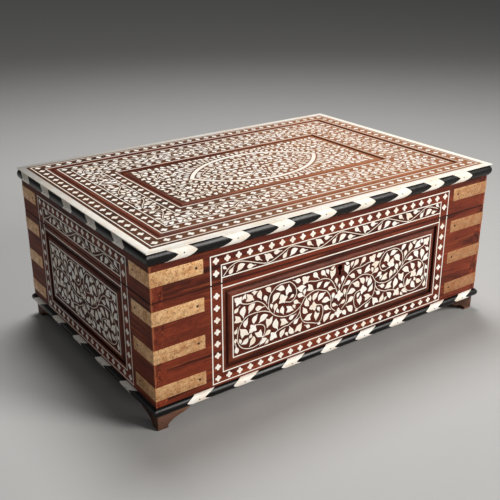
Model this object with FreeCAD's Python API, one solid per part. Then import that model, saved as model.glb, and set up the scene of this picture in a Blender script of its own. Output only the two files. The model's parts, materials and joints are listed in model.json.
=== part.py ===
"""Hinged hardwood box inlaid with bone, on bracket feet.

Frame: millimetres, +Z up, X along the long front, -Y towards the front.
The origin is on the floor, under the middle of the box.

Flat ornament is drawn on a drawing plane first: s to the right, t upwards, the wood
surface at height 0 and the wood below it. on_side() and on_top() then set it in a face.
"""
import FreeCAD
import Part
import math
import os

V = FreeCAD.Vector
UP = V(0, 0, 1)
OUT_FOLDER = "parts"

# Carcass and lid
box_length = 394.0
box_depth = 267.0
board = 11.0
foot_height = 14.5
body_height = 105.5
lid_height = 44.5
top_board = 8.0
tongue_thick = 3.5
tongue_deep = 4.0
floor_thick = 6.0
floor_lift = 5.0
floor_groove = 3.0
floor_play = 0.2

# Ebony edge mouldings with bone chevrons
base_moulding_high = 9.0
lid_moulding_high = 11.5
moulding_proud = 3.0
moulding_let_in = 2.5
chevron_long = 17.5
chevron_wing = 12.0
chevron_nose = 9.0
chevron_bow = 1.3
chevron_pitch = {"long": 46.9, "short": 50.5}
lid_chevron_shift = {"long": 5.1, "short": -10.0}
base_chevron_shift = {"long": 6.2, "short": -21.0}
lid_front_stray = (-4.0, 0.0, 0.0, 0.0, 0.0, 0.0, -2.0, -8.0)
base_front_stray = (-2.5, -2.0, 4.0, 3.5, 0.5, -1.0, 5.5, 2.0)
pin_radius = 0.6
pin_long = 8.0
pin_back = 3.5

# Bone edging round the lid's top
edging_wide = 7.5
edging_thick = 1.0

# Bone borders
line_wide = 1.0
inlay_deep = 1.5
inlay_proud = 0.1
border_wide = 10.5
corner_zone = {"long": 56.0, "short": 40.0}
star_tip = 3.0
star_notch = 2.05
star_blunt = 0.75
star_pitch = 11.3

# Heights of the bone lines, from the nearest edge of the piece that holds them
body_border_lift = 2.3
body_border_high = 9.4
body_top_line_drop = 4.6
lid_border_drop = 5.9
lid_border_wide = 9.5
lid_low_line_lift = 5.0
split_gap = 0.7
split_ease = 0.5

# Moulded frames round the panels
frame_wide = 10.6
frame_deep = 3.0
frame_flat = 2.3
frame_floor = 2.3
frame_sink = 2.0
frame_round = 0.7

# Lid top: distance of each bone line in from the lid's outer edge
top_line_outer = 10.7
top_border_wide = 11.3
top_frame_wide = 9.0
top_frame_floor = 1.6
top_frame_sink = 1.2
top_band_wide = 21.8
medallion_long = 156.0
medallion_wide = 86.0
medallion_ring = 4.0

# Brass corner straps
strap_high = 12.8
strap_thick = 1.2
strap_proud = 0.2
strap_leg = {"long": 49.0, "short": 34.0}
strap_base_gap = 6.5
strap_split_gap = 7.6
lid_strap_drop = 5.5
body_straps = 3
nail_radius = 1.1
nail_long = 7.0
nail_from_end = 6.5

# Bracket feet
foot_long = 34.0
foot_toe = 10.0
foot_toe_high = 3.0
foot_thick = 10.0
foot_inset = 1.0

# Hinges
hinge_long = 50.0
hinge_inset = 112.0
leaf_wide = 8.5
leaf_thick = 1.2
knuckle_radius = 2.4
knuckle_gap = 0.15
knuckle_clear = 0.4
hinge_pin_radius = 1.2
running_clear = 0.05
screw_head_radius = 2.0
screw_radius = 1.0
screw_long = 9.0
leaf_screw_spread = 17.0

# Box lock, let into the front board from inside
lock_half = 26.0
lock_high = 31.5
lock_plate = 1.5
lock_screw_long = 5.0
cap_half = 22.0
cap_wall = 0.8
cap_deep = 5.0
selvedge_wide = 7.0
bolt_throw = 5.0
bolt_bar_high = 3.5
bolt_thick = 2.6
bolt_finger = 3.0
bolt_pin_high = 3.5
bolt_pin_thick = 1.5
lock_clear = 0.4
staple_at = 8.0
staple_thick = 2.5
staple_long = 11.5
staple_wall = 0.8
staple_eye_high = 4.5
staple_sill = 1.0
spring_thick = 0.5
spring_wide = 3.0
spring_rise = 3.0
keyhole_radius = 2.9
keyhole_slot = 2.4
keyhole_slot_long = 8.0
keyhole_drop = 20.0

# Levels and reaches that follow from the sizes above
body_bottom = foot_height
split = body_bottom + body_height
lid_top = split + lid_height
rail_top = lid_top - top_board
base_moulding_top = body_bottom + base_moulding_high
lid_moulding_top = lid_top - edging_thick
lid_moulding_low = lid_moulding_top - lid_moulding_high
half_length = box_length / 2
half_depth = box_depth / 2
inner_length = half_length - board
inner_depth = half_depth - board
outer_length = half_length + moulding_proud
outer_depth = half_depth + moulding_proud
hinge_axis = V(0, half_depth, split)

# Each side: how far it is turned from the front, its width, its reach and its kind
SIDES = {
    "front": (0, box_length, half_depth, "long"),
    "right": (90, box_depth, half_length, "short"),
    "back": (180, box_length, half_depth, "long"),
    "left": (270, box_depth, half_length, "short"),
}


# Shared shapes

def block(x0, x1, y0, y1, z0, z1):
    """A box between two corners."""
    return Part.makeBox(x1 - x0, y1 - y0, z1 - z0, V(x0, y0, z0))


def prism(points, low, high):
    """A polygon on the drawing plane, given thickness from low to high."""
    corners = [V(s, t, low) for s, t in points]
    face = Part.Face(Part.makePolygon(corners + corners[:1]))
    return face.extrude(V(0, 0, high - low))


def rectangle(s0, s1, t0, t1):
    """The corners of a rectangle on the drawing plane."""
    return [(s0, t0), (s1, t0), (s1, t1), (s0, t1)]


def rod(radius, length, base, axis):
    """A round rod from base along axis."""
    return Part.makeCylinder(radius, length, base, axis)


def group(shapes):
    """Separate solids as one compound."""
    solids = [solid for shape in shapes for solid in shape.Solids]
    return Part.makeCompound(solids)


def carved(shape, *pieces):
    """The shape with a seat cut for every piece that reaches into it."""
    near = [solid for solid in group(pieces).Solids if shape.BoundBox.intersect(solid.BoundBox)]
    return shape.cut(Part.makeCompound(near))


def mitred(half, reach, width):
    """The plan of a strip with mitred ends along the side at -t, reach out from the middle."""
    return [(-half, -reach), (half, -reach), (half - width, width - reach), (width - half, width - reach)]


def quarter_turns(half_s, half_t):
    """For each side of a rectangle: its turn, its half length and its reach."""
    return [(90 * i, *((half_t, half_s) if i % 2 else (half_s, half_t))) for i in range(4)]


def turned(shape, degrees):
    """A copy turned about the vertical axis through the origin."""
    copy = shape.copy()
    copy.rotate(V(0, 0, 0), UP, degrees)
    return copy


def moved(shape, offset):
    """A copy moved by offset."""
    copy = shape.copy()
    copy.translate(offset)
    return copy


def on_side(shape, side):
    """Stands a drawing-plane shape up in the outer face of a side."""
    angle, _, reach, _ = SIDES[side]
    copy = shape.copy()
    copy.rotate(V(0, 0, 0), V(1, 0, 0), 90)
    copy.translate(V(0, -reach, 0))
    return turned(copy, angle)


def on_top(shape):
    """Lays a drawing-plane shape in the lid's top face."""
    return moved(shape, V(0, 0, lid_top))


def wood_screw(length):
    """A countersunk screw, head up at the origin and shank down."""
    taper = screw_head_radius - screw_radius
    head = Part.makeCone(screw_radius, screw_head_radius, taper, V(0, 0, -taper))
    shank = rod(screw_radius, length - taper, V(0, 0, -length), UP)
    return head.fuse(shank).removeSplitter()


# Bone lines and stars

def line(s0, s1, t0, t1):
    """One bone line, let in a little proud of the wood."""
    return prism(rectangle(s0, s1, t0, t1), -inlay_deep, inlay_proud)


def upright_line(s, t0, t1):
    """A bone line centred on s."""
    return line(s - line_wide / 2, s + line_wide / 2, t0, t1)


def level_line(t, half):
    """A bone line centred on t, between uprights centred at plus and minus half."""
    return line(-half + line_wide / 2, half - line_wide / 2, t - line_wide / 2, t + line_wide / 2)


def line_frame(half_s, t0, t1):
    """Four bone lines in a rectangle, given by their centre lines."""
    ends = [upright_line(s, t0 - line_wide / 2, t1 + line_wide / 2) for s in (-half_s, half_s)]
    return ends + [level_line(t, half_s) for t in (t0, t1)]


def star(s, t):
    """One four-pointed bone star with blunt tips."""
    notch = star_notch / math.sqrt(2)
    points = []
    for quarter in range(4):
        c, n = ((1, 0), (0, 1), (-1, 0), (0, -1))[quarter]
        for along, across in ((star_tip, -star_blunt), (star_tip, star_blunt), (notch, notch)):
            points.append((s + along * c - across * n, t + along * n + across * c))
    return prism(points, -inlay_deep, inlay_proud)


def evenly(first, last, pitch):
    """Places from first to last, both included, about a pitch apart."""
    steps = max(1, round(abs(last - first) / pitch))
    return [first + (last - first) * i / steps for i in range(steps + 1)]


def star_row(half, t):
    """A level row of stars, corners included."""
    return [star(s, t) for s in evenly(-half, half, star_pitch)]


def star_columns(half, corner_t, end_t):
    """Two upright rows of stars from the corners to the split, corners left out."""
    span = end_t - corner_t
    steps = max(1, int((abs(span) - star_tip) / star_pitch))
    places = [corner_t + math.copysign(star_pitch, span) * i for i in range(1, steps + 1)]
    return [star(s, t) for s in (-half, half) for t in places]


def border_places(side):
    """Half widths of a side's outer line, star columns, inner line and panel line."""
    _, width, _, kind = SIDES[side]
    outer = width / 2 - corner_zone[kind]
    inner = outer - border_wide
    return outer, outer - border_wide / 2, inner, inner - frame_wide


body_outer_t = base_moulding_top + body_border_lift
body_inner_t = body_outer_t + body_border_high
panel_low = body_inner_t + frame_wide
body_top_t = split - body_top_line_drop
panel_high = body_top_t - frame_wide
lid_outer_t = lid_moulding_low - lid_border_drop
lid_inner_t = lid_outer_t - lid_border_wide
lid_low_t = split + lid_low_line_lift


def body_border(side):
    """The bone border of a body side: outer and inner lines, stars and panel lines."""
    outer, middle, inner, panel = border_places(side)
    half_line = line_wide / 2
    end = split - split_gap
    pieces = [upright_line(s, body_outer_t - half_line, end) for s in (-outer, outer)]
    pieces += [upright_line(s, body_inner_t - half_line, end) for s in (-inner, inner)]
    pieces += [level_line(body_outer_t, outer), level_line(body_inner_t, inner)]
    pieces += [level_line(body_top_t, inner)]
    pieces += line_frame(panel, panel_low, panel_high)
    middle_t = (body_outer_t + body_inner_t) / 2
    pieces += star_row(middle, middle_t)
    pieces += star_columns(middle, middle_t, split)
    return on_side(group(pieces), side)


def lid_border(side):
    """The bone border of a lid side, open towards the split."""
    outer, middle, inner, _ = border_places(side)
    half_line = line_wide / 2
    start = split + split_gap
    pieces = [upright_line(s, start, lid_outer_t + half_line) for s in (-outer, outer)]
    pieces += [upright_line(s, start, lid_inner_t + half_line) for s in (-inner, inner)]
    pieces += [level_line(lid_outer_t, outer), level_line(lid_inner_t, inner)]
    pieces += [level_line(lid_low_t, inner)]
    middle_t = (lid_outer_t + lid_inner_t) / 2
    pieces += star_row(middle, middle_t)
    pieces += star_columns(middle, middle_t, split)
    return on_side(group(pieces), side)


# Moulded frames

def frame_strip(length, width, floor, sink):
    """One straight length of moulding: flat, sunk floor, then a round rising to the panel."""
    floor_end = frame_flat + floor
    rise = width - floor_end
    bulge = V(0, floor_end + rise * (1 - frame_round), -sink * (1 - frame_round))
    corners = [V(0, width, 0), V(0, width, -frame_deep), V(0, 0, -frame_deep), V(0, 0, 0),
               V(0, frame_flat, 0), V(0, frame_flat, -sink), V(0, floor_end, -sink)]
    edges = [Part.LineSegment(a, b).toShape() for a, b in zip(corners, corners[1:])]
    edges.append(Part.Arc(corners[-1], bulge, corners[0]).toShape())
    profile = Part.Face(Part.Wire(edges))
    return moved(profile, V(-length / 2, 0, 0)).extrude(V(length, 0, 0))


def moulded_frame(half_s, half_t, width, floor, sink):
    """Four mitred lengths of moulding inside a rectangle, and the channel that they fill."""
    lengths, channel = [], []
    for degrees, half, reach in quarter_turns(half_s, half_t):
        strip = moved(frame_strip(2 * half, width, floor, sink), V(0, -reach, 0))
        room = prism(mitred(half, reach, width), -frame_deep, 0)
        lengths.append(turned(strip.common(room), degrees))
        channel.append(turned(room, degrees))
    return group(lengths), group(channel)


def panel_frame(side):
    """The moulded frame round a body side's panel, and its channel."""
    inner = border_places(side)[2] - line_wide / 2
    low = body_inner_t + line_wide / 2
    high = body_top_t - line_wide / 2
    pair = moulded_frame(inner, (high - low) / 2, frame_wide - line_wide, frame_floor, frame_sink)
    return [on_side(moved(shape, V(0, (high + low) / 2, 0)), side) for shape in pair]


# Lid top

top_line_2 = top_line_outer + top_border_wide
top_line_3 = top_line_2 + top_frame_wide
top_line_4 = top_line_3 + border_wide
top_line_5 = top_line_4 + top_band_wide
top_line_6 = top_line_5 + border_wide


def top_border():
    """The lid top's bone lines and rings of stars."""
    pieces = []
    for inset in (top_line_outer, top_line_2, top_line_3, top_line_4, top_line_5, top_line_6):
        half = outer_depth - inset
        pieces += line_frame(outer_length - inset, -half, half)
    for before, after in ((top_line_outer, top_line_2), (top_line_3, top_line_4),
                          (top_line_5, top_line_6)):
        inset = (before + after) / 2
        half_s, half_t = outer_length - inset, outer_depth - inset
        pieces += star_row(half_s, -half_t) + star_row(half_s, half_t)
        uprights = evenly(-half_t, half_t, star_pitch)[1:-1]
        pieces += [star(s, t) for s in (-half_s, half_s) for t in uprights]
    return on_top(group(pieces))


def top_frame(line_before):
    """A moulded frame in the lid's top, just inside one of its bone lines, and its channel."""
    inset = line_before + line_wide / 2
    pair = moulded_frame(outer_length - inset, outer_depth - inset, top_frame_wide - line_wide,
                         top_frame_floor, top_frame_sink)
    return [on_top(shape) for shape in pair]


def pointed_oval(half_long, half_wide, low, high):
    """A lens of two equal arcs on the drawing plane."""
    left, right = V(-half_long, 0, low), V(half_long, 0, low)
    arcs = [Part.Arc(left, V(0, -half_wide, low), right).toShape(),
            Part.Arc(right, V(0, half_wide, low), left).toShape()]
    return Part.Face(Part.Wire(arcs)).extrude(V(0, 0, high - low))


def medallion():
    """The bone ring in the middle of the lid's top, as a ring of even width."""
    half_long, half_wide = medallion_long / 2, medallion_wide / 2
    radius = (half_long ** 2 + half_wide ** 2) / (2 * half_wide)
    inner_wide = half_wide - medallion_ring
    inner_long = math.sqrt((radius - medallion_ring) ** 2 - (radius - half_wide) ** 2)
    ring = pointed_oval(half_long, half_wide, -inlay_deep, inlay_proud)
    hole = pointed_oval(inner_long, inner_wide, -inlay_deep, inlay_proud)
    return on_top(ring.cut(hole))


def bone_edging():
    """Four mitred bone strips round the lid's top edge."""
    return group([turned(prism(mitred(half, reach, edging_wide), lid_top - edging_thick, lid_top), degrees)
                  for degrees, half, reach in quarter_turns(outer_length, outer_depth)])


# Edge mouldings

def edge_strip(side, low, high):
    """A mitred half-round strip along a side, let into the edge between two levels."""
    angle, width, reach, _ = SIDES[side]
    middle = (low + high) / 2
    back, face = moulding_let_in - reach, -reach
    half = width / 2 + moulding_proud
    top_back, top_face = V(-half, back, high), V(-half, face, high)
    low_back, low_face = V(-half, back, low), V(-half, face, low)
    swell = V(-half, face - moulding_proud, middle)
    edges = [Part.LineSegment(low_face, low_back).toShape(),
             Part.LineSegment(low_back, top_back).toShape(),
             Part.LineSegment(top_back, top_face).toShape(),
             Part.Arc(top_face, swell, low_face).toShape()]
    strip = Part.Face(Part.Wire(edges)).extrude(V(2 * half, 0, 0))
    plan = mitred(half, reach + moulding_proud, moulding_proud + moulding_let_in)
    return turned(strip.common(prism(plan, low, high)), angle)


def chevron_places(side, shift, front_stray):
    """Centres of a side's bone chevrons, along the side; those of the front stray from even places."""
    _, width, _, kind = SIDES[side]
    count = round(width / chevron_pitch[kind])
    places = [(i - (count - 1) / 2) * chevron_pitch[kind] + shift[kind] for i in range(count)]
    if side == "front" and count == len(front_stray):
        places = [place + stray for place, stray in zip(places, front_stray)]
    return places


def bowed(tip, rake, middle, edge):
    """Points from a tip at mid height back to an edge, along a bowed line."""
    steps = [i / 4 for i in range(5)]
    return [(tip - rake * step ** chevron_bow, middle + (edge - middle) * step) for step in steps]


def chevron_cutter(side, places, low, high, way):
    """Arrow-shaped prisms that part the bone of a moulding from its ebony; way is 1 for tips to the right."""
    middle = (low + high) / 2
    notch, tip = -chevron_long / 2, chevron_long / 2
    outline = bowed(notch, chevron_wing, middle, low) + bowed(tip, chevron_nose, middle, low)[::-1]
    outline += bowed(tip, chevron_nose, middle, high)[1:] + bowed(notch, chevron_wing, middle, high)[:0:-1]
    prisms = []
    for place in places:
        points = [(place + way * s, t) for s, t in outline]
        prisms.append(prism(points, -moulding_let_in, moulding_proud))
    return on_side(group(prisms), side)


def chevron_pins(side, places, low, high, way):
    """The pins that hold the bone chevrons of a moulding, back from the chevrons' middles."""
    middle = (low + high) / 2
    pins = [rod(pin_radius, pin_long, V(s - way * pin_back, middle, moulding_proud + inlay_proud), -UP)
            for s in places]
    return on_side(group(pins), side)


def edge_moulding(side, places, low, high, way):
    """A side's ebony lengths, bone chevrons and pins."""
    strip = edge_strip(side, low, high)
    cutter = chevron_cutter(side, places, low, high, way)
    pins = chevron_pins(side, places, low, high, way)
    return group([strip.cut(cutter)]), group([carved(strip.common(cutter), pins)]), pins


# Straps and nails

def corner_strap(low):
    """A brass strap bent round the front left corner, legs along +X and +Y."""
    x, y = -half_length - strap_proud, -half_depth - strap_proud
    high = low + strap_high
    front = -half_length + strap_leg["long"]
    side = -half_depth + strap_leg["short"]
    bent = block(x, front, y, side, low, high)
    inside = block(x + strap_thick, front, y + strap_thick, side, low, high)
    return bent.cut(inside)


def corner_nails(low):
    """The two nails of the front left corner's strap."""
    middle = low + strap_high / 2
    stand_out = strap_proud + inlay_proud
    front_x = -half_length + strap_leg["long"] - nail_from_end
    side_y = -half_depth + strap_leg["short"] - nail_from_end
    front = rod(nail_radius, nail_long, V(front_x, -half_depth - stand_out, middle), V(0, 1, 0))
    side = rod(nail_radius, nail_long, V(-half_length - stand_out, side_y, middle), V(1, 0, 0))
    return [front, side]


def at_all_corners(shape):
    """A front left piece, mirrored to the four corners."""
    right = shape.mirror(V(0, 0, 0), V(1, 0, 0))
    return [part.mirror(V(0, 0, 0), V(0, 1, 0)) if back else part
            for part in (shape, right) for back in (False, True)]


def strap_set(levels):
    """Straps at the four corners, one for each level, and their nails."""
    straps, nails = [], []
    for low in levels:
        pair = group(corner_nails(low))
        straps += at_all_corners(corner_strap(low).cut(pair))
        nails += at_all_corners(pair)
    return group(straps), group(nails)


def body_strap_levels():
    """Lower edges of the body's straps, spread evenly over its height."""
    low = base_moulding_top + strap_base_gap
    high = split - strap_split_gap - strap_high
    return [low + (high - low) * i / (body_straps - 1) for i in range(body_straps)]


# Boards

def side_board(low, high):
    """A full-depth left board with a groove at each end for the tongues."""
    plain = block(-half_length, -inner_length, -half_depth, half_depth, low, high)
    tongue_y = half_depth - (board - tongue_thick) / 2
    for way in (-1, 1):
        edges = sorted((way * tongue_y, way * (tongue_y - tongue_thick)))
        plain = plain.cut(block(-inner_length - tongue_deep, -inner_length, *edges, low, high))
    return plain


def cross_board(low, high):
    """A front board between the side boards, with a tongue on each end."""
    plain = block(-inner_length, inner_length, -half_depth, -inner_depth, low, high)
    tongue_y = -half_depth + (board - tongue_thick) / 2
    reach = inner_length + tongue_deep
    tongue = block(-reach, reach, tongue_y, tongue_y + tongue_thick, low, high)
    return plain.fuse(tongue).removeSplitter()


def split_groove(side):
    """A fine V along one side where lid and body meet; it eases the edges of both."""
    degrees, width, reach, _ = SIDES[side]
    corners = [V(-width / 2, -reach, split - split_ease), V(-width / 2, split_ease - reach, split),
               V(-width / 2, -reach, split + split_ease)]
    notch = Part.Face(Part.makePolygon(corners + corners[:1]))
    return turned(notch.extrude(V(width, 0, 0)), degrees)


def four_boards(low, high):
    """Left, right, front and back boards between two levels."""
    left, front = side_board(low, high), cross_board(low, high)
    return {"left": left, "right": turned(left, 180), "front": front, "back": turned(front, 180)}


floor_low = body_bottom + floor_lift


def floor_board(play):
    """The bottom board; a play of 0 gives the grooves that it lies in."""
    x = inner_length + floor_groove - play
    y = inner_depth + floor_groove - play
    return block(-x, x, -y, y, floor_low, floor_low + floor_thick)


def top_plate():
    """The lid's top board, stepped down at the rim to carry the bone edging."""
    x, y = half_length - moulding_let_in, half_depth - moulding_let_in
    return block(-x, x, -y, y, rail_top, lid_top)


# Feet

def corner_foot():
    """A bracket foot under the front left corner: two mitred brackets."""
    toe, rise = V(foot_toe, 0, 0), V(foot_toe, 0, foot_toe_high)
    middle = V((foot_toe + foot_long) / 2, 0, (foot_toe_high + foot_height) / 2)
    end, top, heel = V(foot_long, 0, foot_height), V(0, 0, foot_height), V(0, 0, 0)
    hollow = (rise + middle) * 0.5 + V(-0.4, 0, 0.8)
    swell = (middle + end) * 0.5 + V(0.4, 0, -0.8)
    edges = [Part.LineSegment(heel, toe).toShape(), Part.LineSegment(toe, rise).toShape(),
             Part.Arc(rise, hollow, middle).toShape(), Part.Arc(middle, swell, end).toShape(),
             Part.LineSegment(end, top).toShape(), Part.LineSegment(top, heel).toShape()]
    bracket = Part.Face(Part.Wire(edges)).extrude(V(0, foot_thick, 0))
    mitre = [(0, 0), (foot_long, 0), (foot_long, foot_thick), (foot_thick, foot_thick)]
    front = bracket.common(prism(mitre, 0, foot_height))
    side = front.mirror(V(0, 0, 0), V(1, -1, 0))
    corner = V(foot_inset - half_length, foot_inset - half_depth, 0)
    return group([moved(front, corner), moved(side, corner)])


# Hinges

def knuckles(keep, radius, bore):
    """Rings along the hinge axis, numbered 0 to 2 from the left."""
    third = hinge_long / 3
    rings = []
    for place in keep:
        start = V(-hinge_long / 2 + place * third + knuckle_gap, 0, 0)
        rings.append(rod(radius, third - 2 * knuckle_gap, start, V(1, 0, 0)))
    shape = group(rings)
    if bore:
        shape = shape.cut(rod(bore, hinge_long, V(-hinge_long / 2, 0, 0), V(1, 0, 0)))
    return shape


def hinge_leaf(keep, away, low, high):
    """A leaf with its knuckles, round an axis through the origin along X."""
    half = hinge_long / 2
    plate = block(-half, half, -leaf_wide, 0, low, high)
    third = hinge_long / 3
    for place in away:
        start = V(-half + place * third - knuckle_gap, 0, 0)
        plate = plate.cut(rod(knuckle_radius + knuckle_clear, third + 2 * knuckle_gap, start, V(1, 0, 0)))
    rings = knuckles(keep, knuckle_radius, None)
    bore = rod(hinge_pin_radius + running_clear, hinge_long, V(-half, 0, 0), V(1, 0, 0))
    return plate.fuse(rings.Solids).cut(bore).removeSplitter()


def leaf_screws(way):
    """Three screws through a leaf, heads at the split and shanks along way."""
    y = -leaf_wide + (leaf_wide - knuckle_radius) / 2
    screws = []
    for x in (-leaf_screw_spread, 0, leaf_screw_spread):
        screw = wood_screw(screw_long)
        if way > 0:
            screw = screw.mirror(V(0, 0, 0), UP)
        screws.append(moved(screw, V(x, y, 0)))
    return group(screws)


def knuckle_room():
    """The room that the turning knuckles need in the boards."""
    half = hinge_long / 2 + knuckle_gap
    return rod(knuckle_radius + knuckle_clear, 2 * half, V(-half, 0, 0), V(1, 0, 0))


def hinge_places():
    """Where the two hinges stand, left then right."""
    return [hinge_axis + V(x, 0, 0) for x in (hinge_inset - half_length, half_length - hinge_inset)]


# Lock

lock_inner = -inner_depth
lock_low = split - lock_high
cap_back = lock_inner - lock_plate
cap_front = cap_back - cap_deep
cavity_front = cap_front + cap_wall
cavity_middle = (cavity_front + cap_back) / 2
selvedge_low = split - lock_plate
staple_low = split - staple_long
eye_low = staple_low + staple_sill
bolt_pin_low = eye_low + (staple_eye_high - bolt_pin_high) / 2
bolt_bar_top = staple_low - lock_clear
bolt_bar_low = bolt_bar_top - bolt_bar_high
keyhole_z = split - keyhole_drop
staple_half_wide = (cap_back - cavity_front) / 2 - lock_clear


def lock_body():
    """The lock's back plate with the selvedge along the board's top edge."""
    back = block(-lock_half, lock_half, cap_back, lock_inner, lock_low, split)
    selvedge = block(-lock_half, lock_half, lock_inner - selvedge_wide, lock_inner, selvedge_low, split)
    plate = back.fuse(selvedge).removeSplitter()
    for x in (-staple_at, staple_at):
        half = staple_thick / 2 + lock_clear
        deep = staple_half_wide + lock_clear / 2
        plate = plate.cut(block(x - half, x + half, cavity_middle - deep, cavity_middle + deep,
                                selvedge_low, split))
    return plate


def lock_cap():
    """The thin box over the works, with the keyhole through its front."""
    low, high = lock_low + cap_wall, selvedge_low
    shell = block(-cap_half, cap_half, cap_front, cap_back, low, high)
    hollow = block(-cap_half + cap_wall, cap_half - cap_wall, cavity_front, cap_back, low + cap_wall, high)
    return shell.cut(hollow).cut(keyhole())


def keyhole():
    """The keyhole's room, from outside the front board into the lock."""
    start = -half_depth - moulding_proud
    long = cavity_front - start
    eye = rod(keyhole_radius, long, V(0, start, keyhole_z), V(0, 1, 0))
    half = keyhole_slot / 2
    slot = block(-half, half, start, cavity_front, keyhole_z - keyhole_slot_long, keyhole_z)
    return eye.fuse(slot).removeSplitter()


def lock_bolt():
    """The sliding bolt: a bar with two fingers that enter the staples' eyes."""
    half = bolt_thick / 2
    low_y, high_y = cavity_middle - half, cavity_middle + half
    pin_half = bolt_pin_thick / 2
    reach = bolt_throw + lock_clear
    starts = []
    bolt = None
    for x in (-staple_at, staple_at):
        tip = x - staple_thick / 2 - lock_clear
        root = tip - reach
        post = block(root - bolt_finger, root, low_y, high_y, bolt_bar_low, bolt_pin_low + bolt_pin_high)
        pin = block(root - bolt_finger, tip, cavity_middle - pin_half, cavity_middle + pin_half,
                    bolt_pin_low, bolt_pin_low + bolt_pin_high)
        finger = post.fuse(pin)
        bolt = bolt.fuse(finger) if bolt else finger
        starts.append(root - bolt_finger)
    bar = block(starts[0], starts[1], low_y, high_y, bolt_bar_low, bolt_bar_top)
    return bolt.fuse(bar).removeSplitter()


def bolt_spring():
    """A bowed leaf under the bolt's bar, held at the cap's end wall."""
    left, right = cap_wall - cap_half, -keyhole_radius - lock_clear
    high = bolt_bar_low - lock_clear
    start, end = V(left, 0, high - spring_rise), V(right, 0, high - spring_rise)
    crown = V((left + right) / 2, 0, high)
    under = UP * spring_thick
    edges = [Part.Arc(start, crown, end).toShape(),
             Part.LineSegment(end, end - under).toShape(),
             Part.Arc(end - under, crown - under, start - under).toShape(),
             Part.LineSegment(start - under, start).toShape()]
    leaf = moved(Part.Face(Part.Wire(edges)), V(0, cavity_middle - spring_wide / 2, 0))
    return leaf.extrude(V(0, spring_wide, 0))


def lock_screws():
    """Four screws through the back plate into the front board."""
    screws = []
    inset = screw_head_radius + lock_clear
    for x in (-lock_half + inset, lock_half - inset):
        for z in (lock_low + inset, selvedge_low - inset):
            screw = wood_screw(lock_screw_long)
            screw.rotate(V(0, 0, 0), V(1, 0, 0), -90)
            screws.append(moved(screw, V(x, lock_inner, z)))
    return group(screws)


def link_plate():
    """The lid's plate with two staples that drop into the lock."""
    low_y = lock_inner - selvedge_wide
    plate = block(-lock_half, lock_half, low_y, lock_inner, split, split + lock_plate)
    for x in (-staple_at, staple_at):
        half = staple_thick / 2
        staple = block(x - half, x + half, cavity_middle - staple_half_wide,
                       cavity_middle + staple_half_wide, staple_low, split)
        eye_half = staple_half_wide - staple_wall
        eye = block(x - half, x + half, cavity_middle - eye_half, cavity_middle + eye_half,
                    eye_low, eye_low + staple_eye_high)
        plate = plate.fuse(staple.cut(eye))
    return plate.removeSplitter()


def link_screws():
    """Two screws up through the link plate into the lid's front rail."""
    screw = wood_screw(screw_long).mirror(V(0, 0, 0), UP)
    inset = lock_half - screw_head_radius - lock_clear
    y = lock_inner - selvedge_wide / 2
    return group([moved(screw, V(x, y, split)) for x in (-inset, inset)])


# Assembly

def body_parts():
    """Every piece of the body, by node name."""
    nodes = {}
    boards = four_boards(body_bottom, split)
    places = {side: chevron_places(side, base_chevron_shift, base_front_stray) for side in SIDES}
    mouldings = {side: edge_moulding(side, places[side], body_bottom, base_moulding_top, -1) for side in SIDES}
    borders = {side: body_border(side) for side in SIDES}
    frames = {side: panel_frame(side) for side in SIDES}
    straps, nails = strap_set(body_strap_levels())
    strips = [edge_strip(side, body_bottom, base_moulding_top) for side in SIDES]
    grooves = [split_groove(side) for side in SIDES]
    pins = group([mouldings[side][2] for side in SIDES])
    for side, plain in boards.items():
        frame, channel = frames[side]
        nodes[side + "_board"] = carved(plain, borders[side], channel, straps, nails, pins,
                                        floor_board(0), *strips, *grooves)
        nodes[side + "_bone_border"] = borders[side]
        nodes[side + "_panel_moulding"] = frame
        nodes["base_moulding_" + side] = mouldings[side][0]
    nodes["base_moulding_bone"] = group([mouldings[side][1] for side in SIDES])
    nodes["base_moulding_pins"] = pins
    nodes["bottom_board"] = floor_board(floor_play)
    nodes["body_straps"] = straps
    nodes["body_strap_nails"] = nails
    for name, foot in zip(("front_left", "back_left", "front_right", "back_right"),
                          at_all_corners(corner_foot())):
        nodes["foot_" + name] = foot
    return nodes


def lid_parts():
    """Every piece of the lid, by node name."""
    nodes = {}
    rails = four_boards(split, rail_top)
    places = {side: chevron_places(side, lid_chevron_shift, lid_front_stray) for side in SIDES}
    mouldings = {side: edge_moulding(side, places[side], lid_moulding_low, lid_moulding_top, 1) for side in SIDES}
    borders = {side: lid_border(side) for side in SIDES}
    straps, nails = strap_set([lid_moulding_low - lid_strap_drop - strap_high])
    strips = [edge_strip(side, lid_moulding_low, lid_moulding_top) for side in SIDES]
    grooves = [split_groove(side) for side in SIDES]
    pins = group([mouldings[side][2] for side in SIDES])
    for side, plain in rails.items():
        nodes["lid_" + side + "_rail"] = carved(plain, borders[side], straps, nails, pins, *strips, *grooves)
        nodes["lid_" + side + "_bone_border"] = borders[side]
        nodes["lid_moulding_" + side] = mouldings[side][0]
    nodes["lid_moulding_bone"] = group([mouldings[side][1] for side in SIDES])
    nodes["lid_moulding_pins"] = pins
    nodes["lid_bone_edging"] = bone_edging()
    nodes["lid_top_bone_border"] = top_border()
    nodes["lid_outer_moulding"], outer_channel = top_frame(top_line_2)
    nodes["lid_inner_moulding"], inner_channel = top_frame(top_line_6)
    nodes["lid_medallion_ring"] = medallion()
    nodes["lid_top_board"] = carved(top_plate(), nodes["lid_bone_edging"], nodes["lid_top_bone_border"],
                                    outer_channel, inner_channel, nodes["lid_medallion_ring"], pins)
    nodes["lid_straps"] = straps
    nodes["lid_strap_nails"] = nails
    return nodes


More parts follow.
